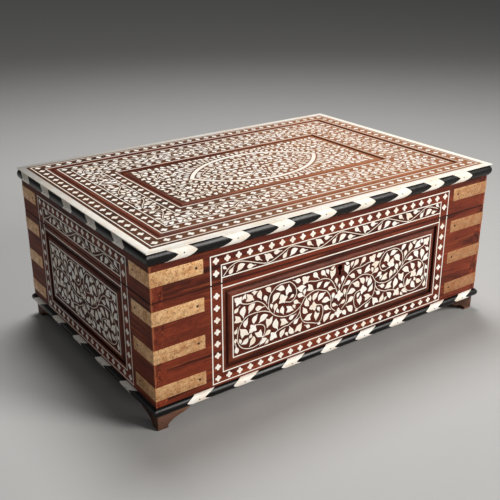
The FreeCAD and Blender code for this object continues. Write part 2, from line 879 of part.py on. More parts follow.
def fit_hinges(nodes):
    """Adds the two hinges and cuts their seats in the back board and the lid's back rail."""
    body_screws, lid_screws, pins = [], [], []
    for name, place in zip(("left", "right"), hinge_places()):
        body_leaf = moved(hinge_leaf((0, 2), (1,), -leaf_thick, 0), place)
        lid_leaf = moved(hinge_leaf((1,), (0, 2), 0, leaf_thick), place)
        body_set, lid_set = moved(leaf_screws(-1), place), moved(leaf_screws(1), place)
        room = moved(knuckle_room(), place)
        nodes["back_board"] = carved(nodes["back_board"], body_leaf, body_set, room)
        nodes["lid_back_rail"] = carved(nodes["lid_back_rail"], lid_leaf, lid_set, room)
        nodes["hinge_leaf_body_" + name] = body_leaf.cut(body_set)
        nodes["hinge_leaf_lid_" + name] = lid_leaf.cut(lid_set)
        pins.append(moved(rod(hinge_pin_radius, hinge_long, V(-hinge_long / 2, 0, 0), V(1, 0, 0)), place))
        body_screws.append(body_set)
        lid_screws.append(lid_set)
    nodes["hinge_pins"] = group(pins)
    nodes["body_screws"] = group(body_screws)
    nodes["lid_screws"] = group(lid_screws)


def fit_lock(nodes):
    """Adds the lock and the lid's link plate, and cuts their seats."""
    screws, lid_set = lock_screws(), link_screws()
    plate, cap, link = lock_body(), lock_cap(), link_plate()
    cap_room = block(-cap_half, cap_half, cap_front, lock_inner, lock_low + cap_wall, split)
    selvedge = block(-lock_half, lock_half, lock_inner - selvedge_wide, lock_inner, selvedge_low, split)
    back = block(-lock_half, lock_half, cap_back, lock_inner, lock_low, split)
    nodes["front_board"] = carved(nodes["front_board"], cap_room, selvedge, back, screws, keyhole())
    nodes["lid_front_rail"] = carved(nodes["lid_front_rail"], link, lid_set)
    nodes["lock_plate"] = plate.cut(screws)
    nodes["lock_cap"] = cap
    nodes["lock_bolt"] = lock_bolt()
    nodes["lock_spring"] = bolt_spring()
    nodes["lid_link_plate"] = link.cut(lid_set)
    nodes["body_screws"] = group([nodes["body_screws"], screws])
    nodes["lid_screws"] = group([nodes["lid_screws"], lid_set])


def main():
    """Builds every node and writes one STEP file for each."""
    os.makedirs(OUT_FOLDER, exist_ok=True)
    nodes = body_parts()
    nodes.update(lid_parts())
    fit_hinges(nodes)
    fit_lock(nodes)
    for name, shape in sorted(nodes.items()):
        shape.exportStep(os.path.join(OUT_FOLDER, name + ".step"))
        print(f"{name}: {len(shape.Solids)} solids, {shape.Volume:.0f} mm3")


main()
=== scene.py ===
"""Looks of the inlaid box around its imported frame.

The bone stems, leaves and flowers, the finish of every piece, the floor, the light and the
camera are made here. Sizes in the classes are millimetres, and become metres where a mesh or
a material is made. Lamps, and where in the log a wood was cut, are in metres. X runs along the
long front, -Y is the front and +Z is up.
"""
import json
import logging
import math
import random
from dataclasses import dataclass, field
from enum import Enum
from typing import Any

import bmesh
import bpy
import numpy as np
from mathutils import Matrix, Vector

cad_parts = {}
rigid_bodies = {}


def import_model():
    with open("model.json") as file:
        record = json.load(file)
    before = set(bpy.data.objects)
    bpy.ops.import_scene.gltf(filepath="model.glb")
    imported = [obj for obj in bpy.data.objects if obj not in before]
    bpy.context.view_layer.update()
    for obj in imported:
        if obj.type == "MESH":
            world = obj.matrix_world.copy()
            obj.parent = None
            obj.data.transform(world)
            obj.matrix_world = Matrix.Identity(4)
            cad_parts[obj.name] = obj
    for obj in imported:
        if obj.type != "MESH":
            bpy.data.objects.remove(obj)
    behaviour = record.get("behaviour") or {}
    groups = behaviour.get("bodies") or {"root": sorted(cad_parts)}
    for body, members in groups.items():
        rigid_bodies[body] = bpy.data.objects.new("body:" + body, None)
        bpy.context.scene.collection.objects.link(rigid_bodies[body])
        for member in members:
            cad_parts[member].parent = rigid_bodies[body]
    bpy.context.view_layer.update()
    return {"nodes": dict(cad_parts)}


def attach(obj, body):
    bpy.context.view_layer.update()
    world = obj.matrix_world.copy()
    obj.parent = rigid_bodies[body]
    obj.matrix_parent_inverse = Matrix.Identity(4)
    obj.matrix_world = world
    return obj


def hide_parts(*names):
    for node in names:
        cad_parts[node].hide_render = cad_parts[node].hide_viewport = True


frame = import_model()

log = logging.getLogger("inlaid_box")
Point = tuple[float, float]
Triple = tuple[float, float, float]
Colour = tuple[float, float, float, float]
Socket = bpy.types.NodeSocket

MM = 0.001

# Half the length and depth over the boards, the split between body and lid, and the lid's top
HALF_LENGTH = 197.0
HALF_DEPTH = 133.5
SPLIT = 120.0
TOP = 164.5

# How far aside in the log a piece was cut, for each length along it
CUT_ASIDE = 0.7

# How the redrawn pieces are welded, flattened, eased and shaded
WELD = 1e-6
FLAT = math.radians(1.0)
CREASE = math.radians(30.0)
SHARP = math.radians(35.0)
EASE_STEPS = 2
EASE_ROUND = 0.6


def srgb(red: int, green: int, blue: int) -> Colour:
    """Turns a screen colour into the linear colour that a shader takes.

    Args:
        red: red from 0 to 255.
        green: green from 0 to 255.
        blue: blue from 0 to 255.

    Returns:
        The linear colour with full opacity.
    """
    def linear(part: int) -> float:
        """Gives one channel's linear value."""
        share = part / 255.0
        return share / 12.92 if share <= 0.04045 else ((share + 0.055) / 1.055) ** 2.4

    return (linear(red), linear(green), linear(blue), 1.0)


def metres(sizes: Triple) -> tuple[float, ...]:
    """Turns three sizes into metres."""
    return tuple(size * MM for size in sizes)


class Side(Enum):
    """A side of the box: its label, its turn round Z in degrees and how far out its face lies."""

    FRONT = ("front", 0.0, HALF_DEPTH)
    RIGHT = ("right", 90.0, HALF_LENGTH)
    BACK = ("back", 180.0, HALF_DEPTH)
    LEFT = ("left", 270.0, HALF_LENGTH)

    def __init__(self, label: str, degrees: float, out: float) -> None:
        """Names the side's values.

        Args:
            label: its name in the frame.
            degrees: its turn round Z from the front.
            out: how far its face lies from the middle.
        """
        self.label = label
        self.angle = math.radians(degrees)
        self.out = out
        self.is_long = out == HALF_DEPTH
        self.across = "X" if self.is_long else "Y"

    def turn(self) -> Vector:
        """The turn that stands a drawing up on this side."""
        return Vector((math.pi / 2, 0.0, self.angle))

    def place(self, height: float) -> Vector:
        """Where a drawing's middle lies on this side, in metres."""
        return Matrix.Rotation(self.angle, 3, "Z") @ (Vector((0.0, -self.out, height)) * MM)


@dataclass(frozen=True)
class HalfWidths:
    """Half the width of a field on the long sides and on the short sides."""

    long: float
    short: float

    def of(self, side: Side) -> float:
        """Half the width on one side."""
        return self.long if side.is_long else self.short


class Graph:
    """Adds the nodes of one tree and joins them."""

    def __init__(self, tree: bpy.types.NodeTree) -> None:
        """Keeps the tree that gets the nodes."""
        self.tree = tree

    def feed(self, sockets: Any, values: dict[Any, Any]) -> None:
        """Sets a node's inputs, or joins them where the value is a socket.

        Args:
            sockets: the node's inputs.
            values: a value or a socket by the input's name or number.
        """
        for key, value in values.items():
            if isinstance(value, Socket):
                self.tree.links.new(value, sockets[key])
            else:
                sockets[key].default_value = value

    def node(self, kind: str, inputs: dict[Any, Any] | None = None, **settings: Any) -> bpy.types.Node:
        """Adds one node.

        Args:
            kind: Blender's name for the node's type.
            inputs: a value or a socket by the input's name or number.
            settings: the node's own properties.

        Returns:
            The new node.
        """
        made = self.tree.nodes.new(kind)
        for name, value in settings.items():
            setattr(made, name, value)
        self.feed(made.inputs, inputs or {})
        return made

    def get(self, kind: str, inputs: dict[Any, Any] | None = None, **settings: Any) -> Socket:
        """Adds one node and gives its first output."""
        return self.node(kind, inputs, **settings).outputs[0]

    def math(self, operation: str, first: Any, second: Any = 0.0) -> Socket:
        """Works out one number from two."""
        return self.get("ShaderNodeMath", {0: first, 1: second}, operation=operation)

    def times(self, first: Any, second: Any) -> Socket:
        """Multiplies two numbers."""
        return self.math("MULTIPLY", first, second)

    def minus(self, first: Any, second: Any) -> Socket:
        """Takes the second number from the first."""
        return self.math("SUBTRACT", first, second)

    def vector(self, operation: str, first: Any, second: Any = (0.0, 0.0, 0.0)) -> Socket:
        """Works out one vector from two."""
        return self.get("ShaderNodeVectorMath", {0: first, 1: second}, operation=operation)

    def drawn_out(self, vector: Any, share: float) -> Socket:
        """Scales a vector's X, which draws a noise out along X."""
        return self.vector("MULTIPLY", vector, (share, 1.0, 1.0))

    def along(self, vector: Any, axis: Any) -> Socket:
        """How far a vector reaches along an axis."""
        inputs = {0: vector, 1: axis}
        return self.node("ShaderNodeVectorMath", inputs, operation="DOT_PRODUCT").outputs["Value"]

    def mix(self, share: Any, below: Any, above: Any, blend: str = "MIX") -> Socket:
        """Lays a share of one colour over another."""
        inputs = {0: share, 6: below, 7: above}
        return self.node("ShaderNodeMix", inputs, data_type="RGBA", blend_type=blend).outputs[2]

    def ramp(self, value: Any, low: float, high: float, start: float = 0.0, end: float = 1.0) -> Socket:
        """Eases from start to end while the value goes from low to high."""
        inputs = {0: value, 1: low, 2: high, 3: start, 4: end}
        return self.get("ShaderNodeMapRange", inputs, interpolation_type="SMOOTHSTEP")

    def noise(self, vector: Any, scale: float, detail: float = 2.0, rough: float = 0.5,
              bend: float = 0.0) -> Socket:
        """Adds cloudy noise of about 0 to 1, with its waves to the metre as scale."""
        inputs = {"Vector": vector, "Scale": scale, "Detail": detail, "Roughness": rough, "Distortion": bend}
        return self.get("ShaderNodeTexNoise", inputs)

    def place(self) -> Socket:
        """The piece's own coordinates."""
        return self.node("ShaderNodeTexCoord").outputs["Object"]

    def axes(self) -> Any:
        """The piece's own coordinates, one by one."""
        return self.node("ShaderNodeSeparateXYZ", {0: self.place()}).outputs

    def bump(self, height: Socket, strength: float, depth: float) -> Socket:
        """Turns a height into a normal; the depth is what a height of 1 stands for."""
        return self.get("ShaderNodeBump", {"Strength": strength, "Distance": depth * MM, "Height": height})


class Grain(Enum):
    """The way a wood's fibres run, as the turn that lays them along X."""

    ALONG_X = (0.0, 0.0, 0.0)
    ALONG_Y = (0.0, 0.0, -math.pi / 2)
    ALONG_Z = (0.0, math.pi / 2, 0.0)

    def lay(self, graph: Graph, shift: float) -> Socket:
        """The coordinates with the fibres laid along X, moved to where in the log the piece was cut."""
        moves = {"Location": (shift, shift * CUT_ASIDE, -shift), "Rotation": self.value}
        return graph.get("ShaderNodeMapping", {"Vector": graph.place(), **moves})


class Effect:
    """A surface effect that several finishes share, kept as one shader group."""

    name: str = ""
    takes: dict[str, tuple[str, Any]] = {}
    gives: dict[str, str] = {}

    @classmethod
    def draw(cls, graph: Graph, source: Any) -> dict[str, Socket]:
        """Fills the group.

        Args:
            graph: the group's tree.
            source: the group's inputs by name.

        Returns:
            The group's results by name.
        """
        raise NotImplementedError

    @classmethod
    def tree(cls) -> bpy.types.NodeTree:
        """Makes the group once and gives it back after that.

        Returns:
            The group.
        """
        found = bpy.data.node_groups.get(cls.name)
        if found is not None:
            return found
        tree = bpy.data.node_groups.new(cls.name, "ShaderNodeTree")
        for label, (kind, value) in cls.takes.items():
            tree.interface.new_socket(label, in_out="INPUT", socket_type=kind).default_value = value
        for label, kind in cls.gives.items():
            tree.interface.new_socket(label, in_out="OUTPUT", socket_type=kind)
        graph = Graph(tree)
        graph.node("NodeGroupOutput", cls.draw(graph, graph.node("NodeGroupInput").outputs))
        return tree

    @classmethod
    def use(cls, graph: Graph, **values: Any) -> Any:
        """Places the group in a material and gives its outputs; the inputs' spaces are underscores."""
        inputs = {label.replace("_", " "): value for label, value in values.items()}
        return graph.node("ShaderNodeGroup", inputs, node_tree=cls.tree()).outputs


NUMBER = "NodeSocketFloat"
COLOUR = "NodeSocketColor"
VECTOR = ("NodeSocketVector", (0.0, 0.0, 0.0))
BLACK = (COLOUR, (0.0, 0.0, 0.0, 1.0))


class WoodFigure(Effect):
    """Bands, fibres and open pores of a wood whose fibres run along X."""

    name = "wood_figure"
    takes = {"Vector": VECTOR, "Dark": BLACK, "Middle": BLACK, "Light": BLACK}
    gives = {"Color": COLOUR, "Height": NUMBER, "Fibre": NUMBER}

    @classmethod
    def draw(cls, graph: Graph, source: Any) -> dict[str, Socket]:
        """Draws bands and streaks, shades them by the fibres and darkens the pores.

        Args:
            graph: the group's tree.
            source: the group's inputs by name.

        Returns:
            The colour, the height and the fibres.
        """
        vector = source["Vector"]
        bands = graph.noise(graph.drawn_out(vector, 0.1), 95.0, 4.0, 0.6, 0.7)
        streaks = graph.noise(graph.drawn_out(vector, 0.035), 420.0, 3.0, 0.6)
        fibre = graph.noise(graph.drawn_out(vector, 0.03), 1500.0, 2.0, 0.6)
        pore = graph.ramp(graph.noise(graph.drawn_out(vector, 0.06), 2300.0, 1.0), 0.60, 0.72)
        colour = graph.mix(graph.ramp(bands, 0.30, 0.56), source["Dark"], source["Middle"])
        colour = graph.mix(graph.ramp(streaks, 0.50, 0.78), colour, source["Light"])
        shade = graph.ramp(fibre, 0.25, 0.75, 0.72, 1.18)
        tone = graph.get("ShaderNodeCombineColor", {0: shade, 1: shade, 2: shade})
        colour = graph.mix(1.0, colour, tone, "MULTIPLY")
        colour = graph.mix(graph.times(pore, 0.55), colour, source["Dark"], "MULTIPLY")
        height = graph.minus(graph.times(fibre, 0.5), pore)
        return {"Color": colour, "Height": height, "Fibre": fibre}


class HandGrime(Effect):
    """Patches of handling: where old wax and dirt lie, and where the surface is rubbed bright."""

    name = "hand_grime"
    takes = {"Vector": VECTOR}
    gives = {"Grime": NUMBER, "Rub": NUMBER}

    @classmethod
    def draw(cls, graph: Graph, source: Any) -> dict[str, Socket]:
        """Draws broad patches, broken up by finer ones.

        Args:
            graph: the group's tree.
            source: the group's inputs by name.

        Returns:
            The grime and the rubbed places.
        """
        broad = graph.noise(source["Vector"], 17.0, 4.0, 0.65, 0.4)
        fine = graph.noise(source["Vector"], 260.0, 3.0, 0.6)
        grime = graph.times(graph.ramp(broad, 0.42, 0.72), graph.ramp(fine, 0.25, 0.7))
        rub = graph.times(graph.ramp(broad, 0.58, 0.34), graph.ramp(fine, 0.35, 0.75))
        return {"Grime": grime, "Rub": rub}


class EdgeRub(Effect):
    """Wear along the edges of a block, from the block's middle and half size."""

    name = "edge_rub"
    takes = {"Vector": VECTOR, "Middle": VECTOR, "Half Size": VECTOR, "Width": (NUMBER, 0.002)}
    gives = {"Wear": NUMBER}

    @classmethod
    def draw(cls, graph: Graph, source: Any) -> dict[str, Socket]:
        """Finds how near the second nearest face is, and rubs a ragged strip there.

        Args:
            graph: the group's tree.
            source: the group's inputs by name.

        Returns:
            The wear.
        """
        inside = graph.vector("ABSOLUTE", graph.vector("SUBTRACT", source["Vector"], source["Middle"]))
        depth = graph.vector("ABSOLUTE", graph.vector("SUBTRACT", source["Half Size"], inside))
        x, y, z = graph.node("ShaderNodeSeparateXYZ", {0: depth}).outputs
        low, high = graph.math("MINIMUM", x, y), graph.math("MAXIMUM", x, y)
        second = graph.math("MAXIMUM", low, graph.math("MINIMUM", high, z))
        ragged = graph.noise(source["Vector"], 140.0, 4.0, 0.7)
        reach = graph.times(source["Width"], graph.ramp(ragged, 0.3, 0.7, 0.15, 1.6))
        return {"Wear": graph.ramp(graph.math("DIVIDE", second, reach), 0.3, 1.0, 1.0, 0.0)}


class GrooveDirtAndShade(Effect):
    """Dirt and painted shade in the hollows of a moulding, from how far they lie below its face."""

    name = "groove_grime"
    takes = {"Vector": VECTOR, "Axis": VECTOR, "Face": (NUMBER, 0.1), "Sink": (NUMBER, 0.002)}
    # The Grime output here is dirt and painted shade together
    gives = {"Grime": NUMBER}

    @classmethod
    def draw(cls, graph: Graph, source: Any) -> dict[str, Socket]:
        """Finds how deep the hollow is, and fills it with ragged dirt and painted shade.

        Args:
            graph: the group's tree.
            source: the group's inputs by name.

        Returns:
            The dirt and painted shade.
        """
        along = graph.along(source["Vector"], source["Axis"])
        depth = graph.minus(source["Face"], graph.math("ABSOLUTE", along))
        ragged = graph.ramp(graph.noise(source["Vector"], 190.0, 4.0, 0.65), 0.3, 0.7, -0.18, 0.18)
        share = graph.math("ADD", graph.math("DIVIDE", depth, source["Sink"]), ragged)
        return {"Grime": graph.ramp(share, 0.3, 0.95)}


class BoneTone(Effect):
    """Cream bone with faint streaks along X and warmer clouds of age."""

    name = "bone_tone"
    takes = {"Vector": VECTOR, "Pale": BLACK, "Warm": BLACK, "Tone": (NUMBER, 0.0)}
    gives = {"Color": COLOUR, "Height": NUMBER}

    @classmethod
    def draw(cls, graph: Graph, source: Any) -> dict[str, Socket]:
        """Warms the pale bone by clouds, streaks and each piece's own tone.

        Args:
            graph: the group's tree.
            source: the group's inputs by name.

        Returns:
            The colour and the height.
        """
        streak = graph.noise(graph.drawn_out(source["Vector"], 0.12), 900.0, 3.0, 0.6)
        cloud = graph.noise(source["Vector"], 75.0, 3.0, 0.6)
        clouds = graph.ramp(cloud, 0.35, 0.72, 0.0, 0.6)
        share = graph.math("ADD", clouds, graph.ramp(streak, 0.45, 0.8, 0.0, 0.45))
        share = graph.get("ShaderNodeMath", {0: share, 1: source["Tone"]}, operation="ADD", use_clamp=True)
        return {"Color": graph.mix(share, source["Pale"], source["Warm"]), "Height": streak}


class MetalPits(Effect):
    """Metal dulled by age: broad tarnish, small dark pits and fine scratches."""

    name = "metal_pits"
    takes = {"Vector": VECTOR, "Bright": BLACK, "Dull": BLACK, "Dark": BLACK, "Pitted": (NUMBER, 0.5)}
    gives = {"Color": COLOUR, "Roughness": NUMBER, "Height": NUMBER}

    @classmethod
    def draw(cls, graph: Graph, source: Any) -> dict[str, Socket]:
        """Dulls the metal in patches and pits it.

        Args:
            graph: the group's tree.
            source: the group's inputs by name.

        Returns:
            The colour, the roughness and the height.
        """
        vector = source["Vector"]
        broad = graph.noise(vector, 140.0, 5.0, 0.75)
        speck = graph.noise(vector, 640.0, 4.0, 0.7)
        fine = graph.noise(graph.vector("MULTIPLY", vector, (0.2, 0.2, 1.0)), 2600.0, 2.0)
        pit = graph.times(graph.ramp(speck, 0.50, 0.62), source["Pitted"])
        colour = graph.mix(graph.ramp(broad, 0.36, 0.66), source["Bright"], source["Dull"])
        colour = graph.mix(pit, colour, source["Dark"])
        rough = graph.math("ADD", graph.ramp(broad, 0.3, 0.7, 0.30, 0.46), graph.times(pit, 0.25))
        return {"Color": colour, "Roughness": rough, "Height": graph.minus(graph.times(fine, 0.25), pit)}


@dataclass(frozen=True)
class MitredFrame:
    """Where a mitred frame's inner corners lie, so that each length's fibres follow it."""

    across: str
    up: str
    middle: float
    half_across: float
    half_up: float

    def past(self, graph: Graph) -> tuple[Socket, Socket]:
        """How far a point lies past the inner corners.

        Args:
            graph: the material's tree.

        Returns:
            The distance past the sides and past the top or bottom, in metres.
        """
        axes = graph.axes()
        aside = graph.math("ABSOLUTE", axes[self.across])
        above = graph.math("ABSOLUTE", graph.minus(axes[self.up], self.middle * MM))
        return graph.minus(aside, self.half_across * MM), graph.minus(above, self.half_up * MM)

    def inside(self, graph: Graph, depth: float) -> Socket:
        """Marks the ground inside the frame on the box's outer face.

        Args:
            graph: the material's tree.
            depth: how far out from the middle the outer face begins.

        Returns:
            1 on the ground, and 0 elsewhere.
        """
        out = graph.math("ABSOLUTE", graph.axes()["Y" if self.across == "X" else "X"])
        within = graph.math("LESS_THAN", graph.math("MAXIMUM", *self.past(graph)), 0.0)
        return graph.times(within, graph.math("GREATER_THAN", out, depth * MM))

    def lay(self, graph: Graph, shift: float) -> Socket:
        """The coordinates with each length's fibres laid along X.

        Args:
            graph: the material's tree.
            shift: where in the log the wood was cut, in metres.

        Returns:
            The coordinates.
        """
        upright = graph.math("GREATER_THAN", *self.past(graph))
        lengths = [Grain["ALONG_" + axis].lay(graph, shift) for axis in (self.across, self.up)]
        inputs = {0: upright, 4: lengths[0], 5: lengths[1]}
        return graph.node("ShaderNodeMix", inputs, data_type="VECTOR").outputs[1]


@dataclass(frozen=True)
class Layer:
    """A layer over a surface, such as age, dirt, painted shade or painted sheen, in its own colour or in the
    surface's dark one.
    """

    colour: Colour | None = field(default=None, kw_only=True)

    def share(self, graph: Graph, figure: Socket) -> Socket:
        """How much of the layer shows, where the surface's own figure may break it up."""
        raise NotImplementedError

    def over(self, graph: Graph, below: Socket, dark: Colour, figure: Socket) -> Socket:
        """Lays the layer over a colour."""
        return graph.mix(self.share(graph, figure), below, self.colour or dark)


@dataclass(frozen=True)
class Fade(Layer):
    """A colour laid on along one way, such as a painted sheen: where it starts and ends, and its greatest
    share.
    """

    way: Triple
    start: float
    end: float
    most: float

    def share(self, graph: Graph, figure: Socket) -> Socket:
        """How far the colour has come on."""
        along = graph.along(graph.place(), self.way)
        return graph.ramp(along, self.start * MM, self.end * MM, 0.0, self.most)


@dataclass(frozen=True)
class Lac(Layer):
    """Old lac on an inlaid ground: the ground, how far out its face begins, and the lac's shares."""

    ground: MitredFrame
    depth: float
    thick: float = 0.80
    thin: float = 0.50

    def share(self, graph: Graph, figure: Socket) -> Socket:
        """How much lac is left."""
        patchy = graph.ramp(figure, 0.2, 0.8, self.thick, self.thin)
        return graph.times(self.ground.inside(graph, self.depth), patchy)


@dataclass(frozen=True)
class Groove(Layer):
    """A moulding's hollow, darkened by dirt and painted shade: the axis its face looks along, how far out
    that lies and how deep it is.
    """

    axis: Triple
    face: float
    sink: float
    # Share of dirt and painted shade at the hollow's deepest
    dirt: float = 0.78

    def share(self, graph: Graph, figure: Socket) -> Socket:
        """How much dirt and painted shade lie in the hollow."""
        hollow = {"Axis": self.axis, "Face": self.face * MM, "Sink": self.sink * MM}
        return graph.times(GrooveDirtAndShade.use(graph, Vector=graph.place(), **hollow)["Grime"], self.dirt)


@dataclass(frozen=True)
class LevelShade(Layer):
    """A level band darkened by painted shade, with dirt too along the split: how high it lies, how far it
    reaches, its share, and how much of it is full.
    """

    level: float
    reach: float
    # The painted shade's greatest share
    dirt: float
    core: float = 0.25

    def share(self, graph: Graph, figure: Socket) -> Socket:
        """How far the band is darkened."""
        away = graph.math("ABSOLUTE", graph.minus(graph.axes()["Z"], self.level * MM))
        return graph.ramp(away, self.core * self.reach * MM, self.reach * MM, self.dirt, 0.0)


@dataclass(frozen=True)
class RubbedEdges(Layer):
    """The rubbed edges of a block: its middle and half size, and how wide and strong the wear is."""

    middle: Triple
    half: Triple
    width: float = 2.2
    wear: float = 0.6

    def share(self, graph: Graph, figure: Socket) -> Socket:
        """How far the edges are rubbed."""
        block = {"Middle": metres(self.middle), "Half_Size": metres(self.half), "Width": self.width * MM}
        return graph.times(EdgeRub.use(graph, Vector=graph.place(), **block)["Wear"], self.wear)


# Painted sheen: the lid's top and its frames turn lighter and paler towards the right and the back, where a
# glossy reflection would lie
PAINTED_SHEEN = Fade((1.0, -0.7, 60.0), 9740.0, 10020.0, 0.48, colour=srgb(208, 142, 100))
# Browner and darker towards the right and the bottom
BROWN_TOWARDS_LOW_RIGHT = Fade((1.0, 0.0, -2.0), -460.0, 120.0, 0.7, colour=srgb(146, 82, 44))


@dataclass(frozen=True)
class Finish:
    """The surface of a piece; its kinds paint the shader."""

    name: str

    def paint(self, graph: Graph, shader: bpy.types.Node) -> None:
        """Fills the material's tree and feeds its Principled shader."""
        raise NotImplementedError

    def material(self) -> bpy.types.Material:
        """Makes the material once and gives it back after that.

        Returns:
            The material.
        """
        found = bpy.data.materials.get(self.name)
        if found is not None:
            return found
        made = bpy.data.materials.new(self.name)
        made.use_nodes = True
        made.node_tree.nodes.clear()
        graph = Graph(made.node_tree)
        shader = graph.node("ShaderNodeBsdfPrincipled")
        graph.node("ShaderNodeOutputMaterial", {"Surface": shader.outputs[0]})
        self.paint(graph, shader)
        return made


@dataclass(frozen=True)
class Wood(Finish):
    """A waxed wood: its colours, the way its fibres run, where it was cut and its layers of age, painted
    shade and painted sheen.
    """

    dark: Colour = srgb(58, 22, 16)
    middle: Colour = srgb(124, 52, 32)
    light: Colour = srgb(164, 84, 48)
    grain: Grain | MitredFrame = Grain.ALONG_X
    shift: float = 0.0
    layers: tuple[Layer, ...] = ()
    grime: float = 0.55
    smooth: float = 0.44
    rougher: float = 0.16
    rubbed: float = 0.10
    relief: float = 0.6
    grain_depth: float = 0.10
    gloss: float = 0.12

    def paint(self, graph: Graph, shader: bpy.types.Node) -> None:
        """Lays grime, and the layers of age, painted shade and painted sheen, over the wood's figure.

        Args:
            graph: the material's tree.
            shader: the Principled shader to feed.
        """
        vector = self.grain.lay(graph, self.shift)
        wood = WoodFigure.use(graph, Vector=vector, Dark=self.dark, Middle=self.middle, Light=self.light)
        hand = HandGrime.use(graph, Vector=graph.place())
        colour = graph.mix(graph.times(hand["Grime"], self.grime), wood["Color"], self.dark)
        for layer in self.layers:
            colour = layer.over(graph, colour, self.dark, wood["Fibre"])
        rough = graph.ramp(wood["Fibre"], 0.2, 0.8, self.smooth, self.smooth + self.rougher)
        rough = graph.minus(rough, graph.times(hand["Rub"], self.rubbed))
        normal = graph.bump(wood["Height"], self.relief, self.grain_depth)
        graph.feed(shader.inputs, {"Base Color": colour, "Roughness": rough, "Normal": normal,
                                   "Specular IOR Level": self.gloss})


@dataclass(frozen=True)
class Bone(Finish):
    """Polished bone, each inlaid piece a little paler or warmer than the next."""

    pale: Colour = srgb(255, 252, 245)
    warm: Colour = srgb(245, 227, 203)
    dirt: Colour = srgb(180, 142, 100)
    grain: Grain | MitredFrame = Grain.ALONG_X
    grime: float = 0.18
    smooth: float = 0.34
    rougher: float = 0.12
    relief: float = 0.25
    depth: float = 0.03
    gloss: float = 0.4

    def paint(self, graph: Graph, shader: bpy.types.Node) -> None:
        """Lays grime over the bone's tone.

        Args:
            graph: the material's tree.
            shader: the Principled shader to feed.
        """
        tone = graph.node("ShaderNodeAttribute", attribute_name="tone").outputs["Fac"]
        vector = self.grain.lay(graph, 0.0)
        bone = BoneTone.use(graph, Vector=vector, Pale=self.pale, Warm=self.warm, Tone=tone)
        hand = HandGrime.use(graph, Vector=graph.place())
        colour = graph.mix(graph.times(hand["Grime"], self.grime), bone["Color"], self.dirt)
        rough = graph.ramp(bone["Height"], 0.25, 0.75, self.smooth, self.smooth + self.rougher)
        normal = graph.bump(bone["Height"], self.relief, self.depth)
        graph.feed(shader.inputs, {"Base Color": colour, "Roughness": rough, "Normal": normal,
                                   "Specular IOR Level": self.gloss})


@dataclass(frozen=True)
class Metal(Finish):
    """Old metal: a bright and a dull tone, how much of it is pitted and its layers of colour."""

    bright: Colour = srgb(252, 206, 150)
    dull: Colour = srgb(214, 156, 102)
    dark: Colour = srgb(122, 78, 48)
    pitted: float = 0.65
    metal: float = 0.6
    layers: tuple[Layer, ...] = ()
    grime: float = 0.35
    relief: float = 0.5
    depth: float = 0.05

    def paint(self, graph: Graph, shader: bpy.types.Node) -> None:
        """Lays grime and the colour layers over the pitted metal.

        Args:
            graph: the material's tree.
            shader: the Principled shader to feed.
        """
        tones = {"Bright": self.bright, "Dull": self.dull, "Dark": self.dark}
        pits = MetalPits.use(graph, Vector=graph.place(), Pitted=self.pitted, **tones)
        hand = HandGrime.use(graph, Vector=graph.place())
        colour = graph.mix(graph.times(hand["Grime"], self.grime), pits["Color"], self.dark)
        for layer in self.layers:
            colour = layer.over(graph, colour, self.dark, pits["Height"])
        normal = graph.bump(pits["Height"], self.relief, self.depth)
        graph.feed(shader.inputs, {"Base Color": colour, "Roughness": pits["Roughness"], "Normal": normal,
                                   "Metallic": self.metal})


@dataclass(frozen=True)
class PaleFloor(Finish):
    """A pale, even studio floor."""

    colour: Colour = (0.50, 0.50, 0.495, 1.0)
    clouded: float = 0.08
    shade: float = 0.9
    rough: float = 0.75
    gloss: float = 0.1

    def paint(self, graph: Graph, shader: bpy.types.Node) -> None:
        """Clouds the floor's colour a little.

        Args:
            graph: the material's tree.
            shader: the Principled shader to feed.
        """
        cloud = graph.ramp(graph.noise(graph.place(), 5.0, 4.0, 0.6), 0.3, 0.7, 0.0, self.clouded)
        darker = tuple(part * self.shade for part in self.colour[:3]) + (1.0,)
        colour = graph.mix(cloud, self.colour, darker)
        graph.feed(shader.inputs, {"Base Color": colour, "Roughness": self.rough,
                                   "Specular IOR Level": self.gloss})


# Leaf outlines one unit long with the foot at the origin and the tip on X; halves are below X
COMMA: tuple[Point, ...] = (
    (0.0, -0.03), (0.16, -0.03), (0.32, -0.08), (0.48, -0.13), (0.64, -0.13), (0.80, -0.07), (1.0, 0.0),
    (0.94, 0.12), (0.85, 0.25), (0.72, 0.36), (0.57, 0.41), (0.42, 0.38), (0.30, 0.28), (0.19, 0.14),
    (0.10, 0.06), (0.0, 0.03))
IVY: tuple[Point, ...] = (
    (0.0, -0.03), (0.15, -0.05), (0.30, -0.13), (0.45, -0.19), (0.60, -0.18), (0.78, -0.10), (1.0, 0.0),
    (0.86, 0.10), (0.74, 0.16), (0.67, 0.23), (0.66, 0.36), (0.62, 0.50), (0.50, 0.42), (0.38, 0.36),
    (0.26, 0.26), (0.14, 0.11), (0.0, 0.03))
HALF_TREFOIL: tuple[Point, ...] = (
    (0.0, -0.05), (0.14, -0.10), (0.20, -0.26), (0.32, -0.50), (0.47, -0.43), (0.58, -0.26), (0.72, -0.25),
    (0.88, -0.12))
HALF_BUD: tuple[Point, ...] = (
    (0.0, -0.03), (0.26, -0.04), (0.42, -0.13), (0.58, -0.23), (0.76, -0.24), (0.91, -0.14))
HALF_PETAL: tuple[Point, ...] = ((0.0, -0.14), (0.25, -0.24), (0.55, -0.24), (0.80, -0.13))

# One petal of a flower, each point a distance from the middle and an angle from the petal's line
ROSETTE_PETAL: tuple[Point, ...] = ((0.30, -0.628), (0.44, -0.38), (0.5, 0.0), (0.44, 0.38))
STAR_PETAL: tuple[Point, ...] = (
    (0.24, -0.785), (0.34, -0.52), (0.40, -0.27), (0.5, 0.0), (0.40, 0.27), (0.34, 0.52))


